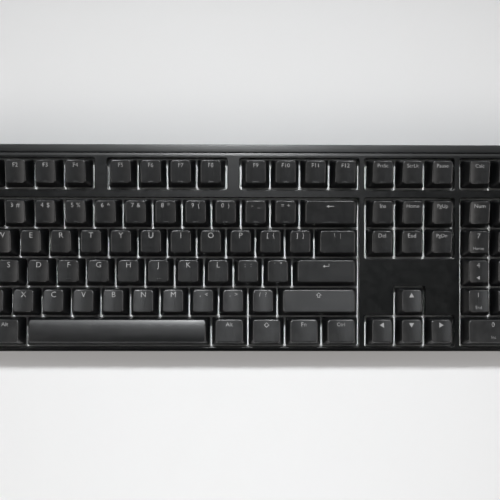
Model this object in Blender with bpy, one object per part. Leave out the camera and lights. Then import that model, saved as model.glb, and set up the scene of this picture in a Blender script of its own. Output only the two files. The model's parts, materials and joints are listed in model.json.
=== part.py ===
"""A full-size mechanical keyboard with 108 keys, built as its separate pieces.

The deck is the sloping plane of the switch plate. A point on it is (x, q, w): x to the right, q up the slope from
the front edge of the bottom key row, and w out of the plate's top face. Deck pieces hang from the empty "deck".
Everything else is in the world frame: the keyboard stands on z = 0 with its front towards -Y.
"""

import math

import bmesh
import bpy
from mathutils import Matrix, Vector

MM = 0.001
GAP = 0.3 * MM  # clearance between pieces that rest against each other

# Key grid
UNIT = 19.05 * MM
UNITS_ACROSS = 22.5
FUNCTION_ROW_GAP = 0.345  # of a unit, between the number row and the function row
DECK_DEPTH = (6 + FUNCTION_ROW_GAP) * UNIT
HALF_ACROSS = UNITS_ACROSS / 2 * UNIT

# Keycaps: the skirt's lower edge sits SKIRT above the plate, and travel takes it down
TRAVEL = 4.0 * MM
SKIRT = 5.4 * MM
CAP_MARGIN = 0.475 * MM  # from the unit's edge to the skirt
CAP_WALL = 1.2 * MM
CAP_CORNER = 1.2 * MM
CAP_TOP_WALL = 1.3 * MM
SIDE_INSET = 2.8 * MM
UPPER_WALL = 0.95 * MM
# Sculpted rows: height of the top's centre over the skirt, how far the top leans towards the typist, and how far its
# front and back edges stand inside the skirt's
PROFILES = {
    "top": (10.0 * MM, math.radians(8.5), 2.1 * MM, 1.5 * MM),
    "upper": (8.4 * MM, math.radians(5.0), 2.5 * MM, 1.3 * MM),
    "home": (7.9 * MM, math.radians(0.5), 2.8 * MM, 1.1 * MM),
    "lower": (8.3 * MM, math.radians(-5.5), 2.8 * MM, 1.0 * MM),
}

# Switches
BOARD_TOP = -5.0 * MM
BOARD_THICK = 1.6 * MM
PLATE_THICK = 1.5 * MM
CUTOUT = 14.0 * MM
FLANGE = 15.5 * MM
HOUSING_TOP = 9.8 * MM
HOUSING_HEIGHT = 6.6 * MM
POCKET_X = 7.0 * MM
POCKET_Q = 6.0 * MM
POCKET_FLOOR = -3.2 * MM
STEM_FOOT = 2.0 * MM

# Case, as distances outside the key grid
OPENING = 1.03 * MM
OPENING_CORNER = 1.6 * MM
FRAME_EDGE = 4.03 * MM
FRAME_EDGE_FRONT = 2.5 * MM
FRAME_TOP = 7.0 * MM
FRAME_THICK = 2.5 * MM
FRAME_BEVEL = 1.3 * MM
FRAME_BEVEL_FRONT = 0.4 * MM
FRAME_BEVEL_DROP = 0.4 * MM
FRAME_SKIRT = 2.6 * MM
FRAME_SKIRT_FRONT = 1.75 * MM
PANEL_WALL = 1.6 * MM
RIM_EDGE = 9.5 * MM
RIM_EDGE_FRONT = 3.7 * MM
RIM_TOP = 6.8 * MM
RIM_CROWN = math.radians(15)  # how steep the rim's gently rounded top gets before its edge
RIM_ROUND = 1.3 * MM
RIM_WALL_TOP = 4.92 * MM  # height where the outer wall turns into the rim's round edge
WAIST = -2.0 * MM  # height where the upright walls end and the tapering base begins
TUB_WALL = 2.5 * MM
TUB_WALL_FRONT = 1.5 * MM
TUB_CORNER = 7.0 * MM
LIP_CORNER = 3.0 * MM
WALL_CORNER = 4.0 * MM
TAPER = 6.0 * MM  # how far the sides lean in between the rim and the base
TAPER_FRONT = 1.2 * MM
TAPER_BACK = 9.0 * MM
BASE_Z = 1.0 * MM
BASE_EDGE = 1.2 * MM
FLOOR_Z = 3.2 * MM

TILT = math.radians(6.0)
DECK_Z = 13.3 * MM
# The rim's front and back extremes lie equally far from y = 0
FRONT_REACH = RIM_EDGE_FRONT * math.cos(TILT) + RIM_WALL_TOP * math.sin(TILT)
BACK_REACH = (DECK_DEPTH + RIM_EDGE) * math.cos(TILT) - WAIST * math.sin(TILT)
DECK_Y = (FRONT_REACH - BACK_REACH) / 2
DECK = Matrix.Translation((0, DECK_Y, DECK_Z)) @ Matrix.Rotation(TILT, 4, "X")

# Posts that carry the circuit board
POST_RADIUS = 3.0 * MM
POST_X = (-200.0 * MM, -100.0 * MM, 0.0, 100.0 * MM, 200.0 * MM)
POST_Q = (24.0 * MM, 82.0 * MM)

# Flip-out feet, two nested pairs
FOOT_X = 150.0 * MM
FOOT_AXIS_Y = DECK_Y + 112.0 * MM
FOOT_AXIS_Z = 4.0 * MM
FOOT_THICK = 3.4 * MM
TALL_LENGTH = 16.0 * MM
SHORT_LENGTH = 11.0 * MM
TALL_HALF = 29.7 * MM
TALL_ARM = 8.2 * MM
LUG_THICK = 2.5 * MM
SHORT_HALF = 18.4 * MM
PIN_RADIUS = 1.0 * MM
PIN_REACH = 1.5 * MM
WELL_HALF = 30.0 * MM
WELL_TOP = 6.5 * MM
WELL_WALL = 3.0 * MM
WELL_BACK = 2.5 * MM
WELL_FRONT = 16.6 * MM
NOTCH_HALF = 10.0 * MM
NOTCH_DEPTH = 6.0 * MM

# Rubber pads
PAD_LENGTH = 30.0 * MM
PAD_WIDTH = 9.0 * MM
PAD_HEIGHT = 1.5 * MM
PAD_X = 198.0 * MM
PAD_FRONT_Y = DECK_Y + 8.0 * MM
PAD_BACK_Y = DECK_Y + 112.0 * MM

# Cable socket
SOCKET_X = -150.0 * MM
SOCKET_MOUTH_Q = 121.5 * MM
SOCKET_DEPTH = 7.3 * MM
SOCKET_WIDE = 8.94 * MM
SOCKET_HIGH = 3.26 * MM
SOCKET_WALL = 0.35 * MM
SOCKET_W = BOARD_TOP - BOARD_THICK - GAP - SOCKET_HIGH / 2
RECESS_WIDE = 14.0 * MM
RECESS_HIGH = 9.0 * MM
RECESS_Y = DECK_Y + 119.0 * MM
RECESS_Z = 17.8 * MM


# ---- Layout ----------------------------------------------------------------------------------------------------------


class Key:
    """One key: its name, its left edge and width in units, its rows' centre and height in units, and its profile."""

    def __init__(self, name, left, row, wide=1.0, tall=1.0, profile="home"):
        self.name = name
        self.wide = wide
        self.tall = tall
        self.profile = profile
        self.x = (left + wide / 2 - UNITS_ACROSS / 2) * UNIT
        self.q = row * UNIT
        self.half_x = wide * UNIT / 2
        self.half_q = tall * UNIT / 2


def run(names, left, row, profile):
    """Neighbouring keys of one unit each."""
    return [Key(name, left + i, row, profile=profile) for i, name in enumerate(names.split())]


FUNCTION_ROW = 5.5 + FUNCTION_ROW_GAP
NUMBER_ROW, UPPER_ROW, HOME_ROW, LOWER_ROW, BOTTOM_ROW = 4.5, 3.5, 2.5, 1.5, 0.5
NAV_LEFT = 15.25
NUMPAD_LEFT = 18.5

KEYS = (
    run("esc", 0, FUNCTION_ROW, "top")
    + run("f1 f2 f3 f4", 2, FUNCTION_ROW, "top")
    + run("f5 f6 f7 f8", 6.5, FUNCTION_ROW, "top")
    + run("f9 f10 f11 f12", 11, FUNCTION_ROW, "top")
    + run("print_screen scroll_lock pause", NAV_LEFT, FUNCTION_ROW, "top")
    + run("calculator mute volume_down volume_up", NUMPAD_LEFT, FUNCTION_ROW, "top")
    + run("backquote 1 2 3 4 5 6 7 8 9 0 minus equals", 0, NUMBER_ROW, "top")
    + [Key("backspace", 13, NUMBER_ROW, 2.0, profile="top")]
    + run("insert home page_up", NAV_LEFT, NUMBER_ROW, "top")
    + run("num_lock numpad_slash numpad_asterisk numpad_minus", NUMPAD_LEFT, NUMBER_ROW, "top")
    + [Key("tab", 0, UPPER_ROW, 1.5, profile="upper")]
    + run("q w e r t y u i o p left_bracket right_bracket", 1.5, UPPER_ROW, "upper")
    + [Key("backslash", 13.5, UPPER_ROW, 1.5, profile="upper")]
    + run("delete end page_down", NAV_LEFT, UPPER_ROW, "upper")
    + run("numpad_7 numpad_8 numpad_9", NUMPAD_LEFT, UPPER_ROW, "upper")
    + [Key("numpad_plus", NUMPAD_LEFT + 3, (UPPER_ROW + HOME_ROW) / 2, tall=2.0, profile="home")]
    + [Key("caps_lock", 0, HOME_ROW, 1.75)]
    + run("a s d f g h j k l semicolon quote", 1.75, HOME_ROW, "home")
    + [Key("enter", 12.75, HOME_ROW, 2.25)]
    + run("numpad_4 numpad_5 numpad_6", NUMPAD_LEFT, HOME_ROW, "home")
    + [Key("left_shift", 0, LOWER_ROW, 2.25, profile="lower")]
    + run("z x c v b n m comma period slash", 2.25, LOWER_ROW, "lower")
    + [Key("right_shift", 12.25, LOWER_ROW, 2.75, profile="lower")]
    + run("up", NAV_LEFT + 1, LOWER_ROW, "lower")
    + run("numpad_1 numpad_2 numpad_3", NUMPAD_LEFT, LOWER_ROW, "lower")
    + [Key("numpad_enter", NUMPAD_LEFT + 3, (LOWER_ROW + BOTTOM_ROW) / 2, tall=2.0, profile="lower")]
    + [
        Key(name, 1.25 * i, BOTTOM_ROW, 1.25, profile="lower")
        for i, name in enumerate(("left_control", "left_meta", "left_alt"))
    ]
    + [Key("space", 3.75, BOTTOM_ROW, 6.25, profile="lower")]
    + [
        Key(name, 10 + 1.25 * i, BOTTOM_ROW, 1.25, profile="lower")
        for i, name in enumerate(("right_alt", "right_meta", "function", "right_control"))
    ]
    + run("left down right", NAV_LEFT, BOTTOM_ROW, "lower")
    + [Key("numpad_0", NUMPAD_LEFT, BOTTOM_ROW, 2.0, profile="lower")]
    + run("numpad_period", NUMPAD_LEFT + 2, BOTTOM_ROW, "lower")
)

# Keys that share a node, because 108 keys are more than the nodes there are. Every other key is its own node.
GROUPS = {
    "keys_f1_to_f4": "f1 f2 f3 f4",
    "keys_f5_to_f8": "f5 f6 f7 f8",
    "keys_f9_to_f12": "f9 f10 f11 f12",
    "keys_system": "print_screen scroll_lock pause",
    "keys_media": "calculator mute volume_down volume_up",
    "keys_number_row": "backquote 1 2 3 4 5 6 7 8 9 0 minus equals backspace",
    "keys_brackets": "left_bracket right_bracket backslash",
    "keys_semicolon_quote": "semicolon quote",
    "keys_comma_period_slash": "comma period slash",
    "keys_left_modifiers": "left_control left_meta left_alt",
    "keys_right_modifiers": "right_alt right_meta function right_control",
    "keys_navigation": "insert home page_up delete end page_down",
    "keys_arrows": "up left down right",
    "keys_numpad": "num_lock numpad_slash numpad_asterisk numpad_minus numpad_7 numpad_8 numpad_9 numpad_plus "
    "numpad_4 numpad_5 numpad_6 numpad_1 numpad_2 numpad_3 numpad_enter numpad_0 numpad_period",
}

# Openings of the top case: left and right in units, then front and back rows' edges in units
OPENINGS = (
    (0, 1, FUNCTION_ROW - 0.5, FUNCTION_ROW + 0.5),
    (2, 6, FUNCTION_ROW - 0.5, FUNCTION_ROW + 0.5),
    (6.5, 10.5, FUNCTION_ROW - 0.5, FUNCTION_ROW + 0.5),
    (11, 15, FUNCTION_ROW - 0.5, FUNCTION_ROW + 0.5),
    (NAV_LEFT, NAV_LEFT + 3, FUNCTION_ROW - 0.5, FUNCTION_ROW + 0.5),
    (NUMPAD_LEFT, NUMPAD_LEFT + 4, FUNCTION_ROW - 0.5, FUNCTION_ROW + 0.5),
    (0, 15, 0, 5),
    (NAV_LEFT, NAV_LEFT + 3, 3, 5),
    (NAV_LEFT, NAV_LEFT + 3, 0, 1),
    (NAV_LEFT + 1, NAV_LEFT + 2, 0, 2),
    (NUMPAD_LEFT, NUMPAD_LEFT + 4, 0, 5),
)

# Blank panels of the top case, hollow underneath: the same four edges, each between openings or blocks
PANELS = (
    (1, 2, FUNCTION_ROW - 0.5, FUNCTION_ROW + 0.5),
    (NAV_LEFT, NAV_LEFT + 3, 2, 3),
    (NAV_LEFT, NAV_LEFT + 1, 1, 2),
    (NAV_LEFT + 2, NAV_LEFT + 3, 1, 2),
)


# ---- Modelling helpers -----------------------------------------------------------------------------------------------


def material(name, colour, roughness, metallic=0.0):
    made = bpy.data.materials.new(name)
    made.use_nodes = True
    shader = made.node_tree.nodes["Principled BSDF"]
    shader.inputs["Base Color"].default_value = (*colour, 1)
    shader.inputs["Roughness"].default_value = roughness
    shader.inputs["Metallic"].default_value = metallic
    return made


def add_object(name, mesh, finish=None, parent=None, location=(0, 0, 0)):
    made = bpy.data.objects.new(name, mesh)
    bpy.context.scene.collection.objects.link(made)
    made.parent = parent
    made.location = location
    if finish:
        mesh.materials.append(finish)
    return made


def helper(made):
    """Marks a cutter or a joining piece, which isn't part of the keyboard."""
    made.hide_render = True
    made.display_type = "WIRE"
    return made


def on_deck(height):
    return lambda x, q: Vector((x, q, height))


def in_world(height):
    """Places deck points in the world frame, at this height over the plate."""
    return lambda x, q: DECK @ Vector((x, q, height))


def flat(height):
    """Places points at this height over the desk, q now running along +Y from the deck's origin."""
    return lambda x, q: Vector((x, DECK_Y + q, height))


def ring(x_low, x_high, q_low, q_high, radius, steps, place):
    """A rounded rectangle, counter-clockwise from above. Each corner has steps + 1 points."""
    corners = (
        (x_high - radius, q_low + radius, -90),
        (x_high - radius, q_high - radius, 0),
        (x_low + radius, q_high - radius, 90),
        (x_low + radius, q_low + radius, 180),
    )
    points = []
    for x, q, start in corners:
        for i in range(steps + 1):
            turn = math.radians(start + 90 * i / steps)
            points.append(place(x + radius * math.cos(turn), q + radius * math.sin(turn)))
    return points


def skin(bm, rings):
    """Adds a closed body through rings of equal length to bm, capped at the first and last."""
    loops = [[bm.verts.new(point) for point in points] for points in rings]
    count = len(loops[0])
    for low, high in zip(loops, loops[1:]):
        for i in range(count):
            j = (i + 1) % count
            bm.faces.new((low[i], low[j], high[j], high[i]))
    bm.faces.new(list(reversed(loops[0])))
    bm.faces.new(loops[-1])


def mesh_of(name, bodies):
    """A mesh of closed bodies, each a list of rings. A sharp corner's points, which coincide, are made one."""
    bm = bmesh.new()
    for rings in bodies:
        skin(bm, rings)
    bmesh.ops.remove_doubles(bm, verts=bm.verts, dist=0.001 * MM)
    mesh = bpy.data.meshes.new(name)
    bm.to_mesh(mesh)
    bm.free()
    return mesh


def box_rings(x_low, x_high, q_low, q_high, low, high, place=on_deck, radius=0.0, steps=1):
    """A straight block from height low to height high."""
    return [ring(x_low, x_high, q_low, q_high, radius, steps, place(height)) for height in (low, high)]


def boolean(target, tool, operation):
    modifier = target.modifiers.new(tool.name, "BOOLEAN")
    modifier.operation = operation
    modifier.object = tool
    modifier.solver = "EXACT"


# ---- Keys ------------------------------------------------------------------------------------------------------------


def cap_rings(key, centre_x=0.0, centre_q=0.0):
    """Keycap and switch stem as one body, from the stem's foot up inside the cap, round its skirt and over its top."""
    height, lean, front_inset, back_inset = PROFILES[key.profile]
    low_x, high_x = centre_x - key.half_x + CAP_MARGIN, centre_x + key.half_x - CAP_MARGIN
    low_q, high_q = centre_q - key.half_q + CAP_MARGIN, centre_q + key.half_q - CAP_MARGIN
    top_low_q, top_high_q = low_q + front_inset, high_q - back_inset
    middle_q = (top_low_q + top_high_q) / 2
    rise = (top_high_q - top_low_q) / 2 * math.tan(abs(lean))
    # A cap two rows deep keeps its ends at the height of a single cap's ends
    slope = math.tan(lean) / key.tall
    ceiling = SKIRT + height - rise / key.tall - CAP_TOP_WALL
    half_stem_x, half_stem_q = POCKET_X / 2 - GAP, POCKET_Q / 2 - GAP

    def stem(level):
        return ring(
            centre_x - half_stem_x, centre_x + half_stem_x, centre_q - half_stem_q, centre_q + half_stem_q, 0, 1,
            on_deck(level),
        )

    def top(x, q):
        return Vector((x, q, SKIRT + height + (q - middle_q) * slope))

    return [
        stem(STEM_FOOT),
        stem(ceiling),
        ring(
            low_x + SIDE_INSET + UPPER_WALL, high_x - SIDE_INSET - UPPER_WALL,
            top_low_q + UPPER_WALL, top_high_q - UPPER_WALL, 0, 1, on_deck(ceiling),
        ),
        ring(low_x + CAP_WALL, high_x - CAP_WALL, low_q + CAP_WALL, high_q - CAP_WALL, 0, 1, on_deck(SKIRT)),
        ring(low_x, high_x, low_q, high_q, CAP_CORNER, 1, on_deck(SKIRT)),
        ring(low_x + SIDE_INSET, high_x - SIDE_INSET, top_low_q, top_high_q, CAP_CORNER, 1, top),
    ]


def link_rings(first, second):
    """A small bridge between two neighbouring caps' skirts, or None where they don't share an edge."""
    reach, half_width = 1.2 * MM, 0.6 * MM
    low, high = SKIRT + 0.2 * MM, SKIRT + 1.4 * MM
    near = 0.01 * MM

    def shared(centre_a, half_a, centre_b, half_b):
        return max(centre_a - half_a, centre_b - half_b), min(centre_a + half_a, centre_b + half_b)

    x_low, x_high = shared(first.x, first.half_x, second.x, second.half_x)
    q_low, q_high = shared(first.q, first.half_q, second.q, second.half_q)
    x, q = (x_low + x_high) / 2, (q_low + q_high) / 2
    if abs(x_high - x_low) < near and q_high - q_low > UNIT / 2:
        return box_rings(x - reach, x + reach, q - half_width, q + half_width, low, high)
    if abs(q_high - q_low) < near and x_high - x_low > UNIT / 4:
        return box_rings(x - half_width, x + half_width, q - reach, q + reach, low, high)
    return None


def add_keys(deck, finish):
    by_name = {key.name: key for key in KEYS}
    grouped = set(" ".join(GROUPS.values()).split())
    for key in KEYS:
        if key.name not in grouped:
            node = "key_" + key.name
            add_object(node, mesh_of(node, [cap_rings(key)]), finish, deck, (key.x, key.q, 0))
    for node, names in GROUPS.items():
        members = [by_name[name] for name in names.split()]
        bank = add_object(node, mesh_of(node, [cap_rings(key, key.x, key.q) for key in members]), finish, deck)
        pairs = ((a, b) for i, a in enumerate(members) for b in members[i + 1 :])
        links = [rings for a, b in pairs if (rings := link_rings(a, b))]
        bridge = add_object(node + "_links", mesh_of(node + "_links", links), parent=deck)
        boolean(bank, helper(bridge), "UNION")


# ---- Plate, board and switches ---------------------------------------------------------------------------------------


def add_plate(deck, finish):
    """A steel sheet with a square cutout for each switch, as a filled flat curve with a thickness."""
    curve = bpy.data.curves.new("switch_plate", "CURVE")
    curve.dimensions = "2D"
    curve.fill_mode = "BOTH"
    curve.extrude = PLATE_THICK / 2
    edge = FRAME_EDGE - GAP
    outline = ring(
        -HALF_ACROSS - edge, HALF_ACROSS + edge, -1.2 * MM, DECK_DEPTH + edge, 3.0 * MM, 2, on_deck(0),
    )
    half = CUTOUT / 2
    cutouts = [
        [Vector((key.x + x * half, key.q + q * half, 0)) for x, q in ((-1, -1), (1, -1), (1, 1), (-1, 1))]
        for key in KEYS
    ]
    for points in [outline, *cutouts]:
        spline = curve.splines.new("POLY")
        spline.points.add(len(points) - 1)
        spline.use_cyclic_u = True
        for point, place in zip(spline.points, points):
            point.co = (*place, 1)
    add_object("switch_plate", curve, finish, deck, (0, 0, -PLATE_THICK / 2))


def housing_rings(key):
    """A switch housing from inside the board up through the plate, with the pocket that its stem slides in."""
    body, overlap = CUTOUT / 2 - GAP, 0.5 * MM

    def square(half_x, half_q, level):
        return ring(key.x - half_x, key.x + half_x, key.q - half_q, key.q + half_q, 0, 1, on_deck(level))

    return [
        square(body, body, BOARD_TOP - overlap),
        square(body, body, GAP),
        square(FLANGE / 2, FLANGE / 2, GAP),
        square(HOUSING_TOP / 2, HOUSING_TOP / 2, HOUSING_HEIGHT),
        square(POCKET_X / 2, POCKET_Q / 2, HOUSING_HEIGHT),
        square(POCKET_X / 2, POCKET_Q / 2, POCKET_FLOOR),
    ]


def add_board(deck, finish):
    """The circuit board with the switch housings soldered to it."""
    side = HALF_ACROSS + 1.5 * MM
    board = box_rings(
        -side, side, 0.5 * MM, DECK_DEPTH, BOARD_TOP - BOARD_THICK, BOARD_TOP, radius=2.0 * MM, steps=2
    )
    board_object = add_object("circuit_board_and_switches", mesh_of("circuit_board", [board]), finish, deck)
    housings = add_object("switch_housings", mesh_of("switch_housings", map(housing_rings, KEYS)), parent=deck)
    boolean(board_object, helper(housings), "UNION")


def add_socket(deck, finish):
    """The cable socket's metal shell under the board's back edge, open towards the back."""

    def oval(inset, q):
        half_x, half_w = SOCKET_WIDE / 2 - inset, SOCKET_HIGH / 2 - inset
        return ring(-half_x, half_x, -half_w, half_w, half_w * 0.98, 3, lambda x, w: Vector((x, q, -w)))

    rings = [oval(0, 0), oval(0, SOCKET_DEPTH), oval(SOCKET_WALL, SOCKET_DEPTH), oval(SOCKET_WALL, 1.0 * MM)]
    place = (SOCKET_X, SOCKET_MOUTH_Q - SOCKET_DEPTH, SOCKET_W)
    add_object("usb_socket", mesh_of("usb_socket", [rings]), finish, deck, place)


# ---- Case ------------------------------------------------------------------------------------------------------------


def grid_ring(edge, front_edge, radius, steps, place):
    """A ring that stands edge outside the key grid at its sides and back, and front_edge at its front."""
    back = DECK_DEPTH + edge
    return ring(-HALF_ACROSS - edge, HALF_ACROSS + edge, -front_edge, back, radius, steps, place)


def add_top_case(deck, finish):
    """The frame round the keys, with a skirt down to the plate and an opening for each block of keys."""
    steps = 3
    under = FRAME_TOP - FRAME_THICK
    rings = [
        grid_ring(FRAME_SKIRT, FRAME_SKIRT_FRONT, 1.5 * MM, steps, on_deck(GAP)),
        grid_ring(FRAME_SKIRT, FRAME_SKIRT_FRONT, 1.5 * MM, steps, on_deck(under)),
        grid_ring(FRAME_EDGE, FRAME_EDGE_FRONT, 2.5 * MM, steps, on_deck(under)),
        grid_ring(FRAME_EDGE, FRAME_EDGE_FRONT, 2.5 * MM, steps, on_deck(FRAME_TOP - FRAME_BEVEL_DROP)),
        grid_ring(
            FRAME_EDGE - FRAME_BEVEL, FRAME_EDGE_FRONT - FRAME_BEVEL_FRONT, 1.8 * MM, steps, on_deck(FRAME_TOP)
        ),
    ]
    case = add_object("top_case", mesh_of("top_case", [rings]), finish, deck)
    inset = OPENING + PANEL_WALL
    cuts = [(f"opening_{i}", edges, -OPENING, FRAME_TOP + 1.0 * MM, 2) for i, edges in enumerate(OPENINGS)]
    cuts += [(f"hollow_{i}", edges, inset, FRAME_TOP - PANEL_WALL, 1) for i, edges in enumerate(PANELS)]
    for name, (left, right, front, back), inset, top, corner_steps in cuts:
        prism = box_rings(
            left * UNIT - HALF_ACROSS + inset, right * UNIT - HALF_ACROSS - inset,
            front * UNIT + inset, back * UNIT - inset,
            -GAP, top, radius=OPENING_CORNER, steps=corner_steps,
        )
        cutter = add_object(name, mesh_of(name, [prism]), parent=deck)
        boolean(case, helper(cutter), "DIFFERENCE")


def rim_profile():
    """The rim's section from its outer wall up over the edge to its inner lip, as (way in, height) pairs.

    The way in runs from 0 at the outer wall to 1 at the lip.
    """
    width = RIM_EDGE - FRAME_EDGE - GAP
    crown_run = width - RIM_ROUND * (1 - math.sin(RIM_CROWN))
    crown_radius = crown_run / math.sin(RIM_CROWN)
    edge_steps, crown_steps = 3, 3
    section = []
    for i in range(edge_steps):
        turn = math.radians(90) + (RIM_CROWN - math.radians(90)) * i / edge_steps
        section.append((RIM_ROUND * (1 - math.sin(turn)) / width, RIM_WALL_TOP + RIM_ROUND * math.cos(turn)))
    for i in range(crown_steps + 1):
        turn = RIM_CROWN * (1 - i / crown_steps)
        section.append((1 - crown_radius * math.sin(turn) / width, RIM_TOP - crown_radius * (1 - math.cos(turn))))
    return section


def tub_rings():
    """The bottom case from its base up the outside, over the rim and down the inside to its floor."""
    steps = 4
    side, back = HALF_ACROSS + RIM_EDGE - TAPER, DECK_DEPTH + RIM_EDGE - TAPER_BACK
    front = -RIM_EDGE_FRONT + TAPER_FRONT
    lip, lip_front = FRAME_EDGE + GAP, FRAME_EDGE_FRONT + GAP

    def foot(inset, height):
        return ring(
            -side + inset, side - inset, front + inset, back - inset, TUB_CORNER - inset / 2, steps, flat(height)
        )

    def shell(edge, front_edge, height, radius=TUB_CORNER):
        return grid_ring(edge, front_edge, radius, steps, in_world(height))

    rings = [foot(BASE_EDGE, BASE_Z), foot(0, BASE_Z + BASE_EDGE), shell(RIM_EDGE, RIM_EDGE_FRONT, WAIST)]
    for way_in, height in rim_profile():
        edge = RIM_EDGE + (lip - RIM_EDGE) * way_in
        edge_front = RIM_EDGE_FRONT + (lip_front - RIM_EDGE_FRONT) * way_in
        rings.append(shell(edge, edge_front, height, TUB_CORNER - (TUB_CORNER - LIP_CORNER) * way_in))
    wall, wall_front = RIM_EDGE - TUB_WALL, RIM_EDGE_FRONT - TUB_WALL_FRONT
    ledge = FRAME_TOP - FRAME_THICK - GAP
    rings += [
        shell(lip, lip_front, ledge, LIP_CORNER),
        shell(wall, wall_front, ledge - (wall - lip), WALL_CORNER),
        shell(wall, wall_front - 0.1 * MM, WAIST, WALL_CORNER),
        foot(TUB_WALL, FLOOR_Z),
    ]
    return rings


def world_box(name, x_low, x_high, y_low, y_high, z_low, z_high, radius=0.0, steps=1):
    def place(height):
        return lambda x, y: Vector((x, y, height))

    rings = box_rings(x_low, x_high, y_low, y_high, z_low, z_high, place, radius, steps)
    return helper(add_object(name, mesh_of(name, [rings])))


def add_posts(case):
    """Posts from the floor of the case to just under the circuit board, square to it."""
    top = BOARD_TOP - BOARD_THICK - GAP
    for i, (x, q) in enumerate((x, q) for x in POST_X for q in POST_Q):
        floor = -(DECK_Z + q * math.sin(TILT) - FLOOR_Z + 1.0 * MM) / math.cos(TILT)
        rings = box_rings(
            x - POST_RADIUS, x + POST_RADIUS, q - POST_RADIUS, q + POST_RADIUS, floor, top, in_world,
            POST_RADIUS * 0.98, 2,
        )
        post = add_object(f"post_{i}", mesh_of(f"post_{i}", [rings]))
        boolean(case, helper(post), "UNION")


def rod_rings(x_low, x_high, y, z, radius, sides=10):
    """A round bar along X."""

    def circle(x):
        turns = (2 * math.pi * i / sides for i in range(sides))
        return [Vector((x, y + radius * math.cos(turn), z + radius * math.sin(turn))) for turn in turns]

    return [circle(x_low), circle(x_high)]


def add_recess(case):
    """The way through the back wall to the cable socket, with round corners as seen from behind."""
    half_wide, half_high, outside = RECESS_WIDE / 2, RECESS_HIGH / 2, -DECK_Y + 20.0 * MM
    rings = box_rings(
        SOCKET_X - half_wide, SOCKET_X + half_wide, RECESS_Z - half_high, RECESS_Z + half_high,
        outside, RECESS_Y, lambda y: lambda x, z: Vector((x, y, z)), 2.0 * MM, 3,
    )
    boolean(case, helper(add_object("cable_recess", mesh_of("cable_recess", [rings]))), "DIFFERENCE")


def add_bottom_case(finish):
    case = add_object("bottom_case", mesh_of("bottom_case", [tub_rings()]), finish)
    add_posts(case)
    below = -1.0 * MM
    for side, x in (("left", -FOOT_X), ("right", FOOT_X)):
        half = WELL_HALF + WELL_WALL
        block = world_box(
            f"{side}_well_block", x - half, x + half,
            FOOT_AXIS_Y - WELL_FRONT - NOTCH_DEPTH - TUB_WALL, FOOT_AXIS_Y + WELL_BACK + TUB_WALL,
            FLOOR_Z - 1.5 * MM, WELL_TOP + 2.0 * MM,
        )
        boolean(case, block, "UNION")
        well = world_box(
            f"{side}_well", x - WELL_HALF, x + WELL_HALF,
            FOOT_AXIS_Y - WELL_FRONT, FOOT_AXIS_Y + WELL_BACK, below, WELL_TOP,
        )
        notch = world_box(
            f"{side}_finger_notch", x - NOTCH_HALF, x + NOTCH_HALF,
            FOOT_AXIS_Y - WELL_FRONT - NOTCH_DEPTH, FOOT_AXIS_Y - WELL_FRONT + 1.0 * MM, below, WELL_TOP - 0.5 * MM,
        )
        boolean(case, well, "DIFFERENCE")
        boolean(case, notch, "DIFFERENCE")
        for sign in (-1, 1):
            lug_x = x + sign * (SHORT_HALF + GAP + LUG_THICK / 2)
            lug = world_box(
                f"{side}_lug_{sign}", lug_x - LUG_THICK / 2, lug_x + LUG_THICK / 2,
                FOOT_AXIS_Y - 2.2 * MM, FOOT_AXIS_Y + WELL_BACK + 1.0 * MM, FOOT_AXIS_Z - 2.2 * MM, WELL_TOP + 1.0 * MM,
            )
            boolean(case, lug, "UNION")
        bore_half = WELL_HALF + PIN_REACH + GAP
        bore = rod_rings(x - bore_half, x + bore_half, FOOT_AXIS_Y, FOOT_AXIS_Z, PIN_RADIUS + GAP)
        bore_object = add_object(f"{side}_hinge_bore", mesh_of(f"{side}_hinge_bore", [bore]))
        boolean(case, helper(bore_object), "DIFFERENCE")
    for name, x, y in pad_places():
        room = world_box(
            f"{name}_room", x - PAD_LENGTH / 2 - GAP, x + PAD_LENGTH / 2 + GAP,
            y - PAD_WIDTH / 2 - GAP, y + PAD_WIDTH / 2 + GAP, below, PAD_HEIGHT + GAP, PAD_WIDTH / 2, 3,
        )
        boolean(case, room, "DIFFERENCE")
    add_recess(case)


# ---- Pads and feet ---------------------------------------------------------------------------------------------------


def pad_places():
    return [
        (f"rubber_pad_{end}_{side}", sign * PAD_X, y)
        for end, y in (("front", PAD_FRONT_Y), ("rear", PAD_BACK_Y))
        for side, sign in (("left", -1), ("right", 1))
    ]


def add_pads(finish):
    for name, x, y in pad_places():
        rings = box_rings(
            -PAD_LENGTH / 2, PAD_LENGTH / 2, -PAD_WIDTH / 2, PAD_WIDTH / 2, 0, PAD_HEIGHT,
            radius=PAD_WIDTH / 2 * 0.98, steps=3,
        )
        add_object(name, mesh_of(name, [rings]), finish, location=(x, y, 0))


def foot_arm(x_low, x_high, length, half=FOOT_THICK / 2, near=0.0):
    """A flat bar of a foot in the foot's own frame: X is the hinge axis and the tip points to -Y.

    It is rounded about the hinge, unless near says how far from the hinge it starts.
    """
    profile = [(-length, half), (-length, -half)]
    if near:
        profile += [(-near, -half), (-near, half)]
    else:
        turns = [math.radians(-90 + 180 * i / 6) for i in range(7)]
        profile += [(half * math.cos(turn), half * math.sin(turn)) for turn in turns]
    return [[Vector((x, y, z)) for y, z in profile] for x in (x_low, x_high)]


def add_foot(name, x, bodies, finish):
    """A foot from overlapping bodies: the first is the base mesh, the others are joined to it."""
    foot = add_object(name, mesh_of(name, [bodies[0]]), finish, location=(x, FOOT_AXIS_Y, FOOT_AXIS_Z))
    for i, rings in enumerate(bodies[1:]):
        tool = add_object(f"{name}_piece_{i}", mesh_of(f"{name}_piece_{i}", [rings]))
        tool.location = foot.location
        boolean(foot, helper(tool), "UNION")


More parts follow.
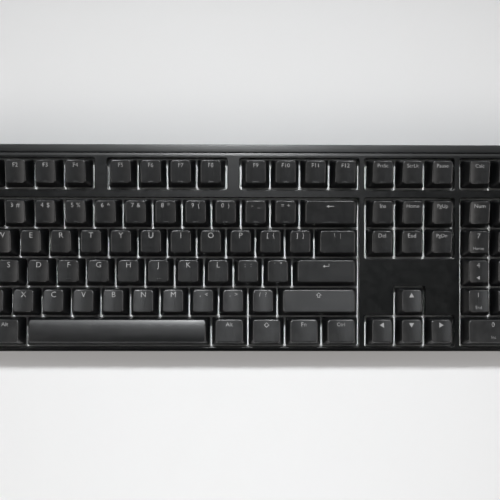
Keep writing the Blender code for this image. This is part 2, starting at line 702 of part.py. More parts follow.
def add_feet(finish):
    """Each foot is a short flap inside a tall frame, both turning on the same axis."""
    inner = TALL_HALF - TALL_ARM
    for side, x in (("left", -FOOT_X), ("right", FOOT_X)):
        tall = [foot_arm(-TALL_HALF, TALL_HALF, TALL_LENGTH, near=SHORT_LENGTH + 1.3 * MM)]
        for sign in (-1, 1):
            low, high = sorted((sign * inner, sign * TALL_HALF))
            tall.append(foot_arm(low, high, TALL_LENGTH - 1.0 * MM, FOOT_THICK / 2 - 0.2 * MM))
            ends = sorted((sign * (TALL_HALF - 2.0 * MM), sign * (TALL_HALF + PIN_REACH)))
            tall.append(rod_rings(*ends, 0, 0, PIN_RADIUS, 8))
        add_foot(f"{side}_foot_tall", x, tall, finish)
        pin_end = SHORT_HALF + PIN_REACH
        short = [foot_arm(-SHORT_HALF, SHORT_HALF, SHORT_LENGTH), rod_rings(-pin_end, pin_end, 0, 0, PIN_RADIUS, 8)]
        add_foot(f"{side}_foot_short", x, short, finish)


# ---- Assembly --------------------------------------------------------------------------------------------------------


def main():
    for old in list(bpy.data.objects):
        bpy.data.objects.remove(old)
    case_black = material("case_black", (0.022, 0.023, 0.024), 0.42)
    cap_black = material("keycap_black", (0.018, 0.019, 0.021), 0.45)
    plate_white = material("plate_white", (0.80, 0.81, 0.80), 0.5)
    board_dark = material("board_and_switches", (0.03, 0.035, 0.04), 0.5)
    steel = material("socket_steel", (0.62, 0.62, 0.63), 0.3, 1.0)
    rubber = material("pad_rubber", (0.03, 0.03, 0.03), 0.9)
    deck = add_object("deck", None, location=(0, DECK_Y, DECK_Z))
    deck.rotation_euler.x = TILT
    add_keys(deck, cap_black)
    add_plate(deck, plate_white)
    add_board(deck, board_dark)
    add_socket(deck, steel)
    add_top_case(deck, case_black)
    add_bottom_case(case_black)
    add_pads(rubber)
    add_feet(case_black)


main()
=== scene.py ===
"""Looks of a full-size mechanical keyboard: pieces, materials, light and camera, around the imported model.

Deck coordinates are (x, q, w): x to the right, q up the slope of the switch plate from the front edge of the
bottom key row, and w out of the plate's top face.
"""

import json
import math

import bmesh
import bpy
from mathutils import Matrix, Vector


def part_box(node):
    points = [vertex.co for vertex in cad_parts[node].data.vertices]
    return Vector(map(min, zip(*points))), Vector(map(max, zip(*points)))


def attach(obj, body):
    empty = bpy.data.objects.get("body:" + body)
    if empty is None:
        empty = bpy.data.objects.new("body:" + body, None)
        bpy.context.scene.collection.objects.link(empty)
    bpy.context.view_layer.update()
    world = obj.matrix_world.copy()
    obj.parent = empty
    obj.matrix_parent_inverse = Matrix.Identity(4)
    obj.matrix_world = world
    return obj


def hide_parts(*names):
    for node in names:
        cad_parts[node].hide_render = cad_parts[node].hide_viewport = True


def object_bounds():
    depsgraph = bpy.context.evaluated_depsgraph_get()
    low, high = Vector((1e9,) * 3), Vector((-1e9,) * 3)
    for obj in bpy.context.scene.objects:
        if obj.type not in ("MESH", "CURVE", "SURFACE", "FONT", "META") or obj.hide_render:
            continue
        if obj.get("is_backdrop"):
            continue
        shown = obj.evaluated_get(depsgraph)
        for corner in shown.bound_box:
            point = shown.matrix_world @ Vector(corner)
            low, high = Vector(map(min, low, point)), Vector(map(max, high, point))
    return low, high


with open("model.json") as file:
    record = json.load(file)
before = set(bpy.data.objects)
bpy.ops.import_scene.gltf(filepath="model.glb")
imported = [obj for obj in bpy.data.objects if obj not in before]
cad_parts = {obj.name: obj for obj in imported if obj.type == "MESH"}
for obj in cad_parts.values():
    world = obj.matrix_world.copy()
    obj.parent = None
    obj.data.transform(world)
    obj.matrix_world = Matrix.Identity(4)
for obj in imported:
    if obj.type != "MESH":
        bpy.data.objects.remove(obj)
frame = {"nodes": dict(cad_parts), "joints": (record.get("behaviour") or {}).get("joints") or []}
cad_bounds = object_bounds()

MM = 0.001
GAP = 0.3 * MM
ALMOST_ROUND = 0.98  # corner radius over half width of a rounded end that keeps a little straight edge

# Key grid and deck, as the solids have them
UNIT = 19.05 * MM
UNITS_ACROSS = 22.5
FUNCTION_ROW_GAP = 0.345
HALF_ACROSS = UNITS_ACROSS / 2 * UNIT
DECK_DEPTH = (6 + FUNCTION_ROW_GAP) * UNIT
PLATE_FRONT = -1.2 * MM
PLATE_THICK = 1.5 * MM
TILT = math.asin(next(joint["axis"][1] for joint in frame["joints"] if joint["type"] == "slide"))
plate_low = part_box("switch_plate")[0]
DECK = Matrix.Translation(
    (
        0,
        plate_low.y - PLATE_FRONT * math.cos(TILT),
        plate_low.z - PLATE_FRONT * math.sin(TILT) + PLATE_THICK * math.cos(TILT),
    )
) @ Matrix.Rotation(TILT, 4, "X")

# Keycaps
SKIRT = 5.4 * MM
CAP_MARGIN = 0.475 * MM
CAP_WALL = 1.2 * MM
CAP_ROOF = 1.6 * MM
SIDE_INSET = 2.8 * MM
PROFILES = {  # height of the top's middle over the skirt, lean, front inset, back inset
    "top": (10.0 * MM, math.radians(8.5), 2.1 * MM, 1.5 * MM),
    "upper": (8.4 * MM, math.radians(5.0), 2.5 * MM, 1.3 * MM),
    "home": (7.9 * MM, math.radians(0.5), 2.8 * MM, 1.1 * MM),
    "lower": (8.3 * MM, math.radians(-5.5), 2.8 * MM, 1.0 * MM),
    "bar": (8.3 * MM, math.radians(-5.5), 2.8 * MM, 1.0 * MM),
}
CAP_CORNER = 1.0 * MM
TOP_CORNER = 2.0 * MM
CAP_FILLET = 0.55 * MM
DISH = 0.75 * MM
BAR_CROWN = 0.8 * MM
LEGEND_DEPTH = 0.06 * MM
LEGEND_PROUD = 0.02 * MM

# Switches, stabilisers and board
BOARD_TOP = -5.0 * MM
BOARD_THICK = 1.6 * MM
BOARD_UNDER = BOARD_TOP - BOARD_THICK
PINS = ((-3.81 * MM, 2.54 * MM), (2.54 * MM, 5.08 * MM))
DIODE = (5.6 * MM, -5.0 * MM)
CHIP_X = 62 * MM
CHIP_Q = 66.2 * MM
CHIP_HALF = 3.5 * MM
LEGS_A_SIDE = 11
LEG_PITCH = 0.55 * MM
STABILISER_HALF = 11.94 * MM
BAR_STABILISER_HALF = 50 * MM
WIRE_RADIUS = 0.5 * MM
WIRE_Q = -8.4 * MM
WIRE_HEIGHT = 0.62 * MM

# Case
FRAME_TOP = 7.0 * MM
FRAME_EDGE = 4.03 * MM
FRAME_EDGE_FRONT = 2.5 * MM
FRAME_LIP = 2.5 * MM
OPENING = 0.8 * MM
OPENING_CORNER = 1.6 * MM
RIM_EDGE = 9.5 * MM
RIM_EDGE_FRONT = 3.7 * MM
RIM_TOP = 6.8 * MM
RIM_WALL_TOP = 4.92 * MM
WAIST = -2.0 * MM
BASE_Z = 1.0 * MM
BASE_EDGE = 1.2 * MM
FLOOR_Z = 3.2 * MM
POST_X = (-200 * MM, -100 * MM, 0, 100 * MM, 200 * MM)
POST_Q = (24 * MM, 82 * MM)

# Feet, with the hinge line as the joints have it
HINGES = {joint["child"]: Vector(joint["pos_m"]) for joint in frame["joints"] if joint["type"] == "hinge"}
AXIS_Y, AXIS_Z = HINGES["left_foot_tall"].yz
FOOT_THICK = 3.4 * MM
TALL_LENGTH = 16.0 * MM
SHORT_LENGTH = 11.0 * MM
TALL_HALF = 29.7 * MM
TALL_ARM = 8.2 * MM
SHORT_HALF = 18.4 * MM
PIN_RADIUS = 1.0 * MM
PIN_REACH = 1.5 * MM
LUG_THICK = 2.5 * MM
WELL_HALF = 30.0 * MM
WELL_TOP = 6.5 * MM
WELL_WALL = 3.0 * MM
WELL_BACK = 2.5 * MM
WELL_FRONT = 16.6 * MM
NOTCH_HALF = 10.0 * MM
NOTCH_DEPTH = 6.0 * MM

# Cable socket
socket_low, socket_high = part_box("usb_socket")
SOCKET_X = ((socket_low + socket_high) / 2).x
SOCKET_HALF = (socket_high.x - socket_low.x) / 2
SOCKET_HALF_HIGH = 1.63 * MM
SOCKET_DEPTH = 7.3 * MM
SOCKET_MOUTH_Q = 121.5 * MM
SOCKET_W = -8.53 * MM


# ---- Layout ----


class Key:
    """One key. Its left edge, width, row's middle and height are in units."""

    def __init__(self, name, legend, left, row, wide, tall, profile):
        self.name = name
        self.legend = legend
        self.wide = wide
        self.tall = tall
        self.profile = profile
        self.x = (left + wide / 2 - UNITS_ACROSS / 2) * UNIT
        self.q = row * UNIT
        self.half_x = wide * UNIT / 2 - CAP_MARGIN
        self.half_q = tall * UNIT / 2 - CAP_MARGIN

    def place(self):
        return DECK @ Matrix.Translation((self.x, self.q, 0))

    def span(self):
        """Half the distance between a long key's two stabilisers, 0 on a key under two units."""
        length = max(self.wide, self.tall)
        if length < 2:
            return 0
        return STABILISER_HALF if length < 6 else BAR_STABILISER_HALF

    def turned(self):
        """The key's place, turned so that its long side lies along x."""
        return self.place() @ Matrix.Rotation(math.radians(90) if self.tall > self.wide else 0, 4, "Z")


def run(names, legends, left, row, profile, wide=1.0):
    """Neighbouring keys of one width."""
    pairs = enumerate(zip(names.split(), legends.split()))
    return [Key(name, legend, left + i * wide, row, wide, 1.0, profile) for i, (name, legend) in pairs]


FUNCTION_ROW = 5.5 + FUNCTION_ROW_GAP
NUMBER_ROW, UPPER_ROW, HOME_ROW, LOWER_ROW, BOTTOM_ROW = 4.5, 3.5, 2.5, 1.5, 0.5
NAV_LEFT = 15.25
NUMPAD_LEFT = 18.5

# A legend is a word, two signs side by side after "2:", a digit over a small word or icon after "d:", or an
# icon's name in angle brackets
KEYS = (
    run("esc", "Esc", 0, FUNCTION_ROW, "top")
    + run("f1 f2 f3 f4", "F1 F2 F3 F4", 2, FUNCTION_ROW, "top")
    + run("f5 f6 f7 f8", "F5 F6 F7 F8", 6.5, FUNCTION_ROW, "top")
    + run("f9 f10 f11 f12", "F9 F10 F11 F12", 11, FUNCTION_ROW, "top")
    + run("print_screen scroll_lock pause", "PrtSc ScrLk Pause", NAV_LEFT, FUNCTION_ROW, "top")
    + run("calculator mute volume_down volume_up", "Calc Mute Vol- Vol+", NUMPAD_LEFT, FUNCTION_ROW, "top")
    + run(
        "backquote 1 2 3 4 5 6 7 8 9 0 minus equals",
        "2:`~ 2:1! 2:2@ 2:3# 2:4$ 2:5% 2:6^ 2:7& 2:8* 2:9( 2:0) 2:-_ 2:=+", 0, NUMBER_ROW, "top",
    )
    + run("backspace", "<back>", 13, NUMBER_ROW, "top", 2.0)
    + run("insert home page_up", "Ins Home PgUp", NAV_LEFT, NUMBER_ROW, "top")
    + run("num_lock numpad_slash numpad_asterisk numpad_minus", "Num / * -", NUMPAD_LEFT, NUMBER_ROW, "top")
    + run("tab", "Tab", 0, UPPER_ROW, "upper", 1.5)
    + run("q w e r t y u i o p", "Q W E R T Y U I O P", 1.5, UPPER_ROW, "upper")
    + run("left_bracket right_bracket", "2:[{ 2:]}", 11.5, UPPER_ROW, "upper")
    + run("backslash", "2:\\|", 13.5, UPPER_ROW, "upper", 1.5)
    + run("delete end page_down", "Del End PgDn", NAV_LEFT, UPPER_ROW, "upper")
    + run("numpad_7 numpad_8 numpad_9", "d:7Home d:8<up> d:9PgUp", NUMPAD_LEFT, UPPER_ROW, "upper")
    + [Key("numpad_plus", "+", NUMPAD_LEFT + 3, (UPPER_ROW + HOME_ROW) / 2, 1.0, 2.0, "home")]
    + run("caps_lock", "Caps", 0, HOME_ROW, "home", 1.75)
    + run("a s d f g h j k l", "A S D F G H J K L", 1.75, HOME_ROW, "home")
    + run("semicolon quote", "2:;: 2:'\"", 10.75, HOME_ROW, "home")
    + run("enter", "<enter>", 12.75, HOME_ROW, "home", 2.25)
    + run("numpad_4 numpad_5 numpad_6", "d:4<left> 5 d:6<right>", NUMPAD_LEFT, HOME_ROW, "home")
    + run("left_shift", "<shift>", 0, LOWER_ROW, "lower", 2.25)
    + run("z x c v b n m comma period slash", "Z X C V B N M 2:,< 2:.> 2:/?", 2.25, LOWER_ROW, "lower")
    + run("right_shift", "<shift>", 12.25, LOWER_ROW, "lower", 2.75)
    + run("up", "<up>", NAV_LEFT + 1, LOWER_ROW, "lower")
    + run("numpad_1 numpad_2 numpad_3", "d:1End d:2<down> d:3PgDn", NUMPAD_LEFT, LOWER_ROW, "lower")
    + [Key("numpad_enter", "<enter>", NUMPAD_LEFT + 3, (LOWER_ROW + BOTTOM_ROW) / 2, 1.0, 2.0, "lower")]
    + run("left_control left_meta left_alt", "Ctrl <meta> Alt", 0, BOTTOM_ROW, "lower", 1.25)
    + [Key("space", "", 3.75, BOTTOM_ROW, 6.25, 1.0, "bar")]
    + run("right_alt right_meta function right_control", "Alt <meta> Fn Ctrl", 10, BOTTOM_ROW, "lower", 1.25)
    + run("left down right", "<left> <down> <right>", NAV_LEFT, BOTTOM_ROW, "lower")
    + run("numpad_0", "d:0Ins", NUMPAD_LEFT, BOTTOM_ROW, "lower", 2.0)
    + run("numpad_period", "d:.Del", NUMPAD_LEFT + 2, BOTTOM_ROW, "lower")
)

GROUPS = {
    "keys_f1_to_f4": "f1 f2 f3 f4",
    "keys_f5_to_f8": "f5 f6 f7 f8",
    "keys_f9_to_f12": "f9 f10 f11 f12",
    "keys_system": "print_screen scroll_lock pause",
    "keys_media": "calculator mute volume_down volume_up",
    "keys_number_row": "backquote 1 2 3 4 5 6 7 8 9 0 minus equals backspace",
    "keys_brackets": "left_bracket right_bracket backslash",
    "keys_semicolon_quote": "semicolon quote",
    "keys_comma_period_slash": "comma period slash",
    "keys_left_modifiers": "left_control left_meta left_alt",
    "keys_right_modifiers": "right_alt right_meta function right_control",
    "keys_navigation": "insert home page_up delete end page_down",
    "keys_arrows": "up left down right",
    "keys_numpad": "num_lock " + " ".join(key.name for key in KEYS if key.name.startswith("numpad_")),
}
BODY_OF = {name: body for body, names in GROUPS.items() for name in names.split()}

FUNCTION_GROUPS = (
    (0, 1), (2, 6), (6.5, 10.5), (11, 15), (NAV_LEFT, NAV_LEFT + 3), (NUMPAD_LEFT, NUMPAD_LEFT + 4),
)
OPENINGS = (  # left, right, front and back edges in units
    *((left, right, FUNCTION_ROW - 0.5, FUNCTION_ROW + 0.5) for left, right in FUNCTION_GROUPS),
    (0, 15, 0, 5),
    (NAV_LEFT, NAV_LEFT + 3, 3, 5),
    (NAV_LEFT, NAV_LEFT + 3, 0, 1),
    (NUMPAD_LEFT, NUMPAD_LEFT + 4, 0, 5),
)
UP_OPENING = (NAV_LEFT + 1, NAV_LEFT + 2, 0, 2)


def body_of(key):
    return BODY_OF.get(key.name, "key_" + key.name)


# ---- Materials ----


class Shader:
    """A Principled material with helpers for its texture nodes."""

    def __init__(self, name, colour, roughness, metallic=0.0, specular=0.5):
        self.material = bpy.data.materials.new(name)
        self.material.use_nodes = True
        self.nodes = self.material.node_tree.nodes
        self.links = self.material.node_tree.links
        self.shader = self.nodes["Principled BSDF"]
        self.set("Base Color", (*colour, 1))
        self.set("Roughness", roughness)
        self.set("Metallic", metallic)
        self.set("Specular IOR Level", specular)
        self.place = self.nodes.new("ShaderNodeTexCoord").outputs["Object"]

    def set(self, socket, value):
        self.shader.inputs[socket].default_value = value

    def noise(self, size, detail=3.0, roughness=0.5):
        """Noise with features of about this size."""
        node = self.nodes.new("ShaderNodeTexNoise")
        node.inputs["Scale"].default_value = 1 / size
        node.inputs["Detail"].default_value = detail
        node.inputs["Roughness"].default_value = roughness
        self.links.new(self.place, node.inputs["Vector"])
        return node.outputs["Fac"]

    def grains(self, size):
        """Round cells of about this size, as in a spark-eroded mould."""
        node = self.nodes.new("ShaderNodeTexVoronoi")
        node.inputs["Scale"].default_value = 1 / size
        self.links.new(self.place, node.inputs["Vector"])
        return node.outputs["Distance"]

    def spread(self, source, low, high):
        """From low to high as source goes from 0.3 to 0.7, which is most of what a noise gives."""
        node = self.nodes.new("ShaderNodeMapRange")
        for socket, value in (("From Min", 0.3), ("From Max", 0.7), ("To Min", low), ("To Max", high)):
            node.inputs[socket].default_value = value
        self.links.new(source, node.inputs["Value"])
        return node.outputs["Result"]

    def tint(self, source, dark, light):
        """Colours the surface from dark to light."""
        node = self.nodes.new("ShaderNodeMix")
        node.data_type = "RGBA"
        node.inputs["A"].default_value = (*dark, 1)
        node.inputs["B"].default_value = (*light, 1)
        self.links.new(self.spread(source, 0, 1), node.inputs["Factor"])
        self.links.new(node.outputs["Result"], self.shader.inputs["Base Color"])

    def gloss(self, source, low, high):
        self.links.new(self.spread(source, low, high), self.shader.inputs["Roughness"])

    def bump(self, source, depth):
        node = self.nodes.new("ShaderNodeBump")
        node.inputs["Strength"].default_value = 1.0
        node.inputs["Distance"].default_value = depth
        self.links.new(source, node.inputs["Height"])
        self.links.new(node.outputs["Normal"], self.shader.inputs["Normal"])


def scaled(colour, factor):
    return tuple(channel * factor for channel in colour)


def moulded(name, colour, roughness, grain, depth, specular=0.5):
    """Textured black plastic: fine grain, a little unevenness in gloss, and faint handling marks."""
    made = Shader(name, colour, roughness, specular=specular)
    broad = made.noise(14 * MM, 4.0)
    made.tint(broad, scaled(colour, 0.85), scaled(colour, 1.2))
    made.gloss(made.noise(5 * MM, 5.0, 0.6), roughness - 0.04, roughness + 0.04)
    made.bump(made.noise(grain, 2.0), depth)
    return made.material


def painted_steel(name, colour):
    """Powder coat: a soft orange-peel surface."""
    made = Shader(name, colour, 0.45)
    made.tint(made.noise(20 * MM), scaled(colour, 0.95), colour)
    made.bump(made.noise(0.5 * MM, 2.0), 0.012 * MM)
    return made.material


def rubber_material(name):
    made = Shader(name, (0.02, 0.02, 0.021), 0.85, specular=0.3)
    made.tint(made.noise(3 * MM), (0.015, 0.015, 0.016), (0.03, 0.03, 0.031))
    made.gloss(made.noise(2 * MM), 0.75, 0.92)
    made.bump(made.grains(0.35 * MM), 0.02 * MM)
    return made.material


def metal(name, colour, roughness):
    made = Shader(name, colour, roughness, metallic=1.0)
    made.gloss(made.noise(1.5 * MM, 4.0), roughness - 0.08, roughness + 0.1)
    made.bump(made.noise(0.2 * MM), 0.003 * MM)
    return made.material


def board_material(name):
    """Solder mask over copper: a faint raised pattern of tracks."""
    made = Shader(name, (0.01, 0.014, 0.012), 0.3)
    made.tint(made.noise(6 * MM, 1.0), (0.008, 0.011, 0.010), (0.016, 0.022, 0.019))
    made.bump(made.grains(2.2 * MM), 0.02 * MM)
    return made.material


MATERIALS = {
    "frame": moulded("frame_black", (0.0019, 0.0022, 0.0022), 0.32, 0.30 * MM, 0.002 * MM, 0.5),
    "base": moulded("base_black", (0.0030, 0.0034, 0.0034), 0.34, 0.30 * MM, 0.003 * MM, 0.5),
    "cap": moulded("keycap_black", (0.0025, 0.0028, 0.0031), 0.38, 0.22 * MM, 0.003 * MM, 0.75),
    "legend": moulded("legend_grey", (0.24, 0.24, 0.24), 0.5, 0.25 * MM, 0.003 * MM, 0.4),
    "housing": moulded("switch_housing_black", (0.008, 0.008, 0.009), 0.45, 0.3 * MM, 0.004 * MM, 0.4),
    "stem": moulded("switch_stem_brown", (0.16, 0.05, 0.02), 0.4, 0.3 * MM, 0.003 * MM, 0.4),
    "plate": painted_steel("plate_white", (0.75, 0.76, 0.75)),
    "board": board_material("circuit_board_green"),
    "rubber": rubber_material("pad_rubber"),
    "steel": metal("bright_steel", (0.62, 0.62, 0.63), 0.3),
    "gold": metal("gold_contacts", (0.85, 0.62, 0.28), 0.25),
    "label": moulded("label_grey", (0.35, 0.36, 0.36), 0.35, 0.6 * MM, 0.002 * MM, 0.5),
}


# ---- Mesh helpers ----


def at_height(height):
    """Places points at this height in whichever frame the piece is in."""
    return lambda x, y: Vector((x, y, height))


def on_deck(height):
    """Places deck points of this height in the world."""
    return lambda x, q: DECK @ Vector((x, q, height))


def over_desk(height):
    """Places points at this height over the desk, q running along +Y from the deck's front."""
    return lambda x, q: Vector((x, DECK.translation.y + q, height))


def upright(y):
    """Places points in a plane that stands across the y axis."""
    return lambda x, z: Vector((x, y, z))


def arc(start, sweep, steps):
    """Angles in radians from start through sweep, which are in degrees, both ends included."""
    return [math.radians(start + sweep * i / steps) for i in range(steps + 1)]


def circle(radius, sides):
    """Points (u, v) round a circle."""
    turns = [2 * math.pi * i / sides for i in range(sides)]
    return [(radius * math.cos(turn), radius * math.sin(turn)) for turn in turns]


def disc_rings(x, y, levels, sides=24):
    """A turned shape on a vertical axis through (x, y), from (radius, height) pairs."""
    return [[Vector((x + u, y + v, height)) for u, v in circle(radius, sides)] for radius, height in levels]


def rod_rings(x_low, x_high, y, z, radius, sides=20):
    """A round bar along X."""
    return [[Vector((x, y + u, z + v)) for u, v in circle(radius, sides)] for x in (x_low, x_high)]


def rounded(x_low, x_high, q_low, q_high, radius, place, steps=5, along=1):
    """A rounded rectangle, counter-clockwise: steps for each corner, and each side cut into along parts."""
    corners = (
        (x_high - radius, q_low + radius, -90),
        (x_high - radius, q_high - radius, 0),
        (x_low + radius, q_high - radius, 90),
        (x_low + radius, q_low + radius, 180),
    )
    flat_points = []
    for x, q, start in corners:
        for turn in arc(start, 90, steps):
            flat_points.append(Vector((x + radius * math.cos(turn), q + radius * math.sin(turn))))
    points = []
    for i, point in enumerate(flat_points):
        points.append(place(point.x, point.y))
        if (i + 1) % (steps + 1) == 0:
            after = flat_points[(i + 1) % len(flat_points)]
            for j in range(1, along):
                between = point.lerp(after, j / along)
                points.append(place(between.x, between.y))
    return points


def centred(half_x, half_q, radius, place, steps=5):
    return rounded(-half_x, half_x, -half_q, half_q, radius, place, steps)


def block_rings(x_low, x_high, y_low, y_high, z_low, z_high, radius=0.3 * MM, steps=2):
    return [rounded(x_low, x_high, y_low, y_high, radius, at_height(z), steps) for z in (z_low, z_high)]


def skin(bm, rings):
    """Adds a closed body through rings of equal length, capped at the first and last."""
    loops = [[bm.verts.new(point) for point in points] for points in rings]
    count = len(loops[0])
    for low, high in zip(loops, loops[1:]):
        for i in range(count):
            j = (i + 1) % count
            bm.faces.new((low[i], low[j], high[j], high[i]))
    bm.faces.new(list(reversed(loops[0])))
    bm.faces.new(loops[-1])


def moved(rings, offset):
    return [[point + offset for point in ring] for ring in rings]


def to_mesh(bm, name, sharp=35):
    bmesh.ops.remove_doubles(bm, verts=bm.verts, dist=0.0005 * MM)
    mesh = bpy.data.meshes.new(name)
    bm.to_mesh(mesh)
    bm.free()
    mesh.shade_smooth()
    mesh.set_sharp_from_angle(angle=math.radians(sharp))
    return mesh


def mesh_of(name, bodies, sharp=35):
    bm = bmesh.new()
    for rings in bodies:
        skin(bm, rings)
    return to_mesh(bm, name, sharp)


def in_scene(name, data):
    made = bpy.data.objects.new(name, data)
    bpy.context.scene.collection.objects.link(made)
    return made


def evaluated_mesh(block):
    """The object's mesh with its modifiers applied."""
    bpy.context.view_layer.update()
    return bpy.data.meshes.new_from_object(block.evaluated_get(bpy.context.evaluated_depsgraph_get()))


def piece(name, mesh, material, body, slot, place=Matrix.Identity(4), replaced=()):
    """A visible piece that moves with a body."""
    made = in_scene(name, mesh)
    made.matrix_world = place
    if not mesh.materials:
        mesh.materials.append(MATERIALS[material])
    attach(made, body)
    if replaced:
        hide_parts(*replaced)


def carved(mesh, cutters, operation="DIFFERENCE"):
    """The mesh after cutting it with each cutter mesh, or joining each to it."""
    block = in_scene("block", mesh)
    tools = [in_scene("cutter", cutter) for cutter in cutters]
    for tool in tools:
        modifier = block.modifiers.new("cut", "BOOLEAN")
        modifier.operation = operation
        modifier.object = tool
        modifier.solver = "EXACT"
    made = evaluated_mesh(block)
    for used in [block, *tools]:
        bpy.data.objects.remove(used)
    return made


def weighted(mesh):
    """The mesh with its big faces shaded flat, so that only the round edges between them shade smoothly."""
    block = in_scene("block", mesh)
    modifier = block.modifiers.new("weighted", "WEIGHTED_NORMAL")
    modifier.keep_sharp = True
    modifier.weight = 100
    made = evaluated_mesh(block)
    bpy.data.objects.remove(block)
    return made


def softened(mesh, chosen, radius, segments=3, sharp=35):
    """The mesh with a round edge along every edge that chosen picks."""
    bm = bmesh.new()
    bm.from_mesh(mesh)
    bmesh.ops.remove_doubles(bm, verts=bm.verts, dist=0.002 * MM)
    bmesh.ops.dissolve_limit(bm, angle_limit=math.radians(0.5), verts=bm.verts, edges=bm.edges)
    edges = [edge for edge in bm.edges if len(edge.link_faces) == 2 and chosen(edge)]
    bmesh.ops.bevel(
        bm, geom=edges, offset=radius, segments=segments, profile=0.5, affect="EDGES", clamp_overlap=True
    )
    return weighted(to_mesh(bm, mesh.name, sharp))


# ---- Keycaps ----


class CapShape:
    """The outer surface of a keycap, in the key's own frame."""

    def __init__(self, key):
        self.height, lean, self.front, self.back = PROFILES[key.profile]
        self.half_x, self.half_q = key.half_x, key.half_q
        self.slope = math.tan(lean) / key.tall
        self.low, self.high = -self.half_q + self.front, self.half_q - self.back
        self.middle = (self.low + self.high) / 2
        self.half_top_x = self.half_x - SIDE_INSET
        self.half_top_q = (self.high - self.low) / 2
        self.convex = key.profile == "bar"

    def top(self, x, q):
        """Height of the sculpted top: dished across, or for the space bar crowned from front to back."""
        plane = SKIRT + self.height + (q - self.middle) * self.slope
        if self.convex:
            return plane - BAR_CROWN * min(1.0, abs((q - self.middle) / self.half_top_q)) ** 2.5
        return plane - DISH * max(0.0, 1 - (x / self.half_top_x) ** 2)

    def ring(self, up, inset, drop=0.0, shrink=1.0):
        """A ring round the cap: up is 0 at the skirt and 1 at the top, shrink goes on to the top's middle."""
        radius = CAP_CORNER + (TOP_CORNER - CAP_CORNER) * up
        half_x = self.half_x - SIDE_INSET * up - inset
        low = -self.half_q + self.front * up + inset
        high = self.half_q - self.back * up - inset

        def place(x, q):
            x, q = x * shrink, self.middle + (q - self.middle) * shrink
            return Vector((x, q, SKIRT + (self.top(x, q) - drop - SKIRT) * up))

        return rounded(-half_x, half_x, low, high, max(radius - inset, 0.3 * MM), place, 5, 6)


def cap_mesh(key):
    """Keycap with walls, dished top, round edges and the socket for the switch's stem underneath."""
    shape = CapShape(key)
    ceiling = shape.height - CAP_ROOF - 0.5 * MM * (key.tall - 1)

    def flattened(ring, height):
        return [Vector((point.x, point.y, height)) for point in ring]

    rings = [
        flattened(shape.ring(0.86, CAP_WALL, shrink=0), SKIRT + ceiling),
        flattened(shape.ring(0.80, CAP_WALL), SKIRT + ceiling),
        shape.ring(0.5, CAP_WALL),
        shape.ring(0, CAP_WALL),
        shape.ring(0, 0.12 * MM),
        shape.ring(0.03, 0),
        shape.ring(0.35, -0.05 * MM),
        shape.ring(0.7, -0.05 * MM),
    ]
    for turn in arc(0, 90, 4):
        drop = CAP_FILLET * (1 - math.sin(turn))
        rings.append(shape.ring(1, CAP_FILLET * (1 - math.cos(turn)) - 0.25 * drop, drop))
    rings.append(shape.ring(1, CAP_FILLET + 0.12 * MM))
    rings += [shape.ring(1, CAP_FILLET, shrink=shrink) for shrink in (0.86, 0.7, 0.52, 0.34, 0.16, 0)]
    turn = key.place().inverted() @ key.turned()
    stems = {0, -key.span(), key.span()}
    sockets = [moved(socket_rings(ceiling), turn @ Vector((x, 0, 0))) for x in sorted(stems)]
    return mesh_of("keycap", [rings, *sockets], 50)


def socket_rings(ceiling):
    """The round socket under the cap that the stem's cross goes into."""
    outer, inner, chamfer = 2.75 * MM, 2.2 * MM, 0.2 * MM
    roof, foot = SKIRT + ceiling, SKIRT + 1.4 * MM
    return disc_rings(0, 0, (
        (inner, roof - 0.3 * MM), (inner, foot), (outer - chamfer, foot), (outer, foot + chamfer),
        (outer, roof + 0.1 * MM),
    ), 20)


def bar_ridge(shape):
    """The small raised bar that marks the home keys."""
    q = shape.low + 2.2 * MM
    half_x, half_q, high, corner = 1.7 * MM, 0.3 * MM, 0.35 * MM, 0.28 * MM
    return [
        rounded(
            -half_x + inset, half_x - inset, q - half_q + inset, q + half_q - inset, corner - inset,
            lambda x, y, up=up: Vector((x, y, shape.top(x, y) + up)), 3,
        )
        for inset, up in ((0, -0.1 * MM), (0, 0.6 * high), (0.09 * MM, 0.9 * high), (0.2 * MM, high))
    ]


def add_keycaps():
    shared = {}
    placed = set()
    for key in KEYS:
        kind = (key.profile, key.wide, key.tall, key.name in ("f", "j"))
        if kind not in shared:
            shared[kind] = cap_mesh(key)
            if kind[3]:
                bm = bmesh.new()
                bm.from_mesh(shared[kind])
                skin(bm, bar_ridge(CapShape(key)))
                shared[kind] = to_mesh(bm, "keycap", 50)
        body = body_of(key)
        replaced = () if body in placed else (body,)
        placed.add(body)
        piece("keycap_" + key.name, shared[kind], "cap", body, "keycaps", key.place(), replaced)


# ---- Legends ----


def text_curve(text, size):
    """Thin letters. Those whose sharp inner corners would fold over when thinned keep their weight."""
    curve = bpy.data.curves.new("legend", "FONT")
    curve.body = text
    curve.size = size
    curve.align_x = "CENTER"
    curve.align_y = "CENTER"
    curve.offset = 0 if set(text) & set("Q2$") else -0.02 * MM
    curve.resolution_u = 3
    return curve


def outline_curve(outlines):
    """A filled flat curve. An outline inside another is a hole."""
    curve = bpy.data.curves.new("icon", "CURVE")
    curve.dimensions = "2D"
    curve.fill_mode = "BOTH"
    for points in outlines:
        spline = curve.splines.new("POLY")
        spline.points.add(len(points) - 1)
        spline.use_cyclic_u = True
        for target, (x, y) in zip(spline.points, points):
            target.co = (x * MM, y * MM, 0, 1)
    return curve


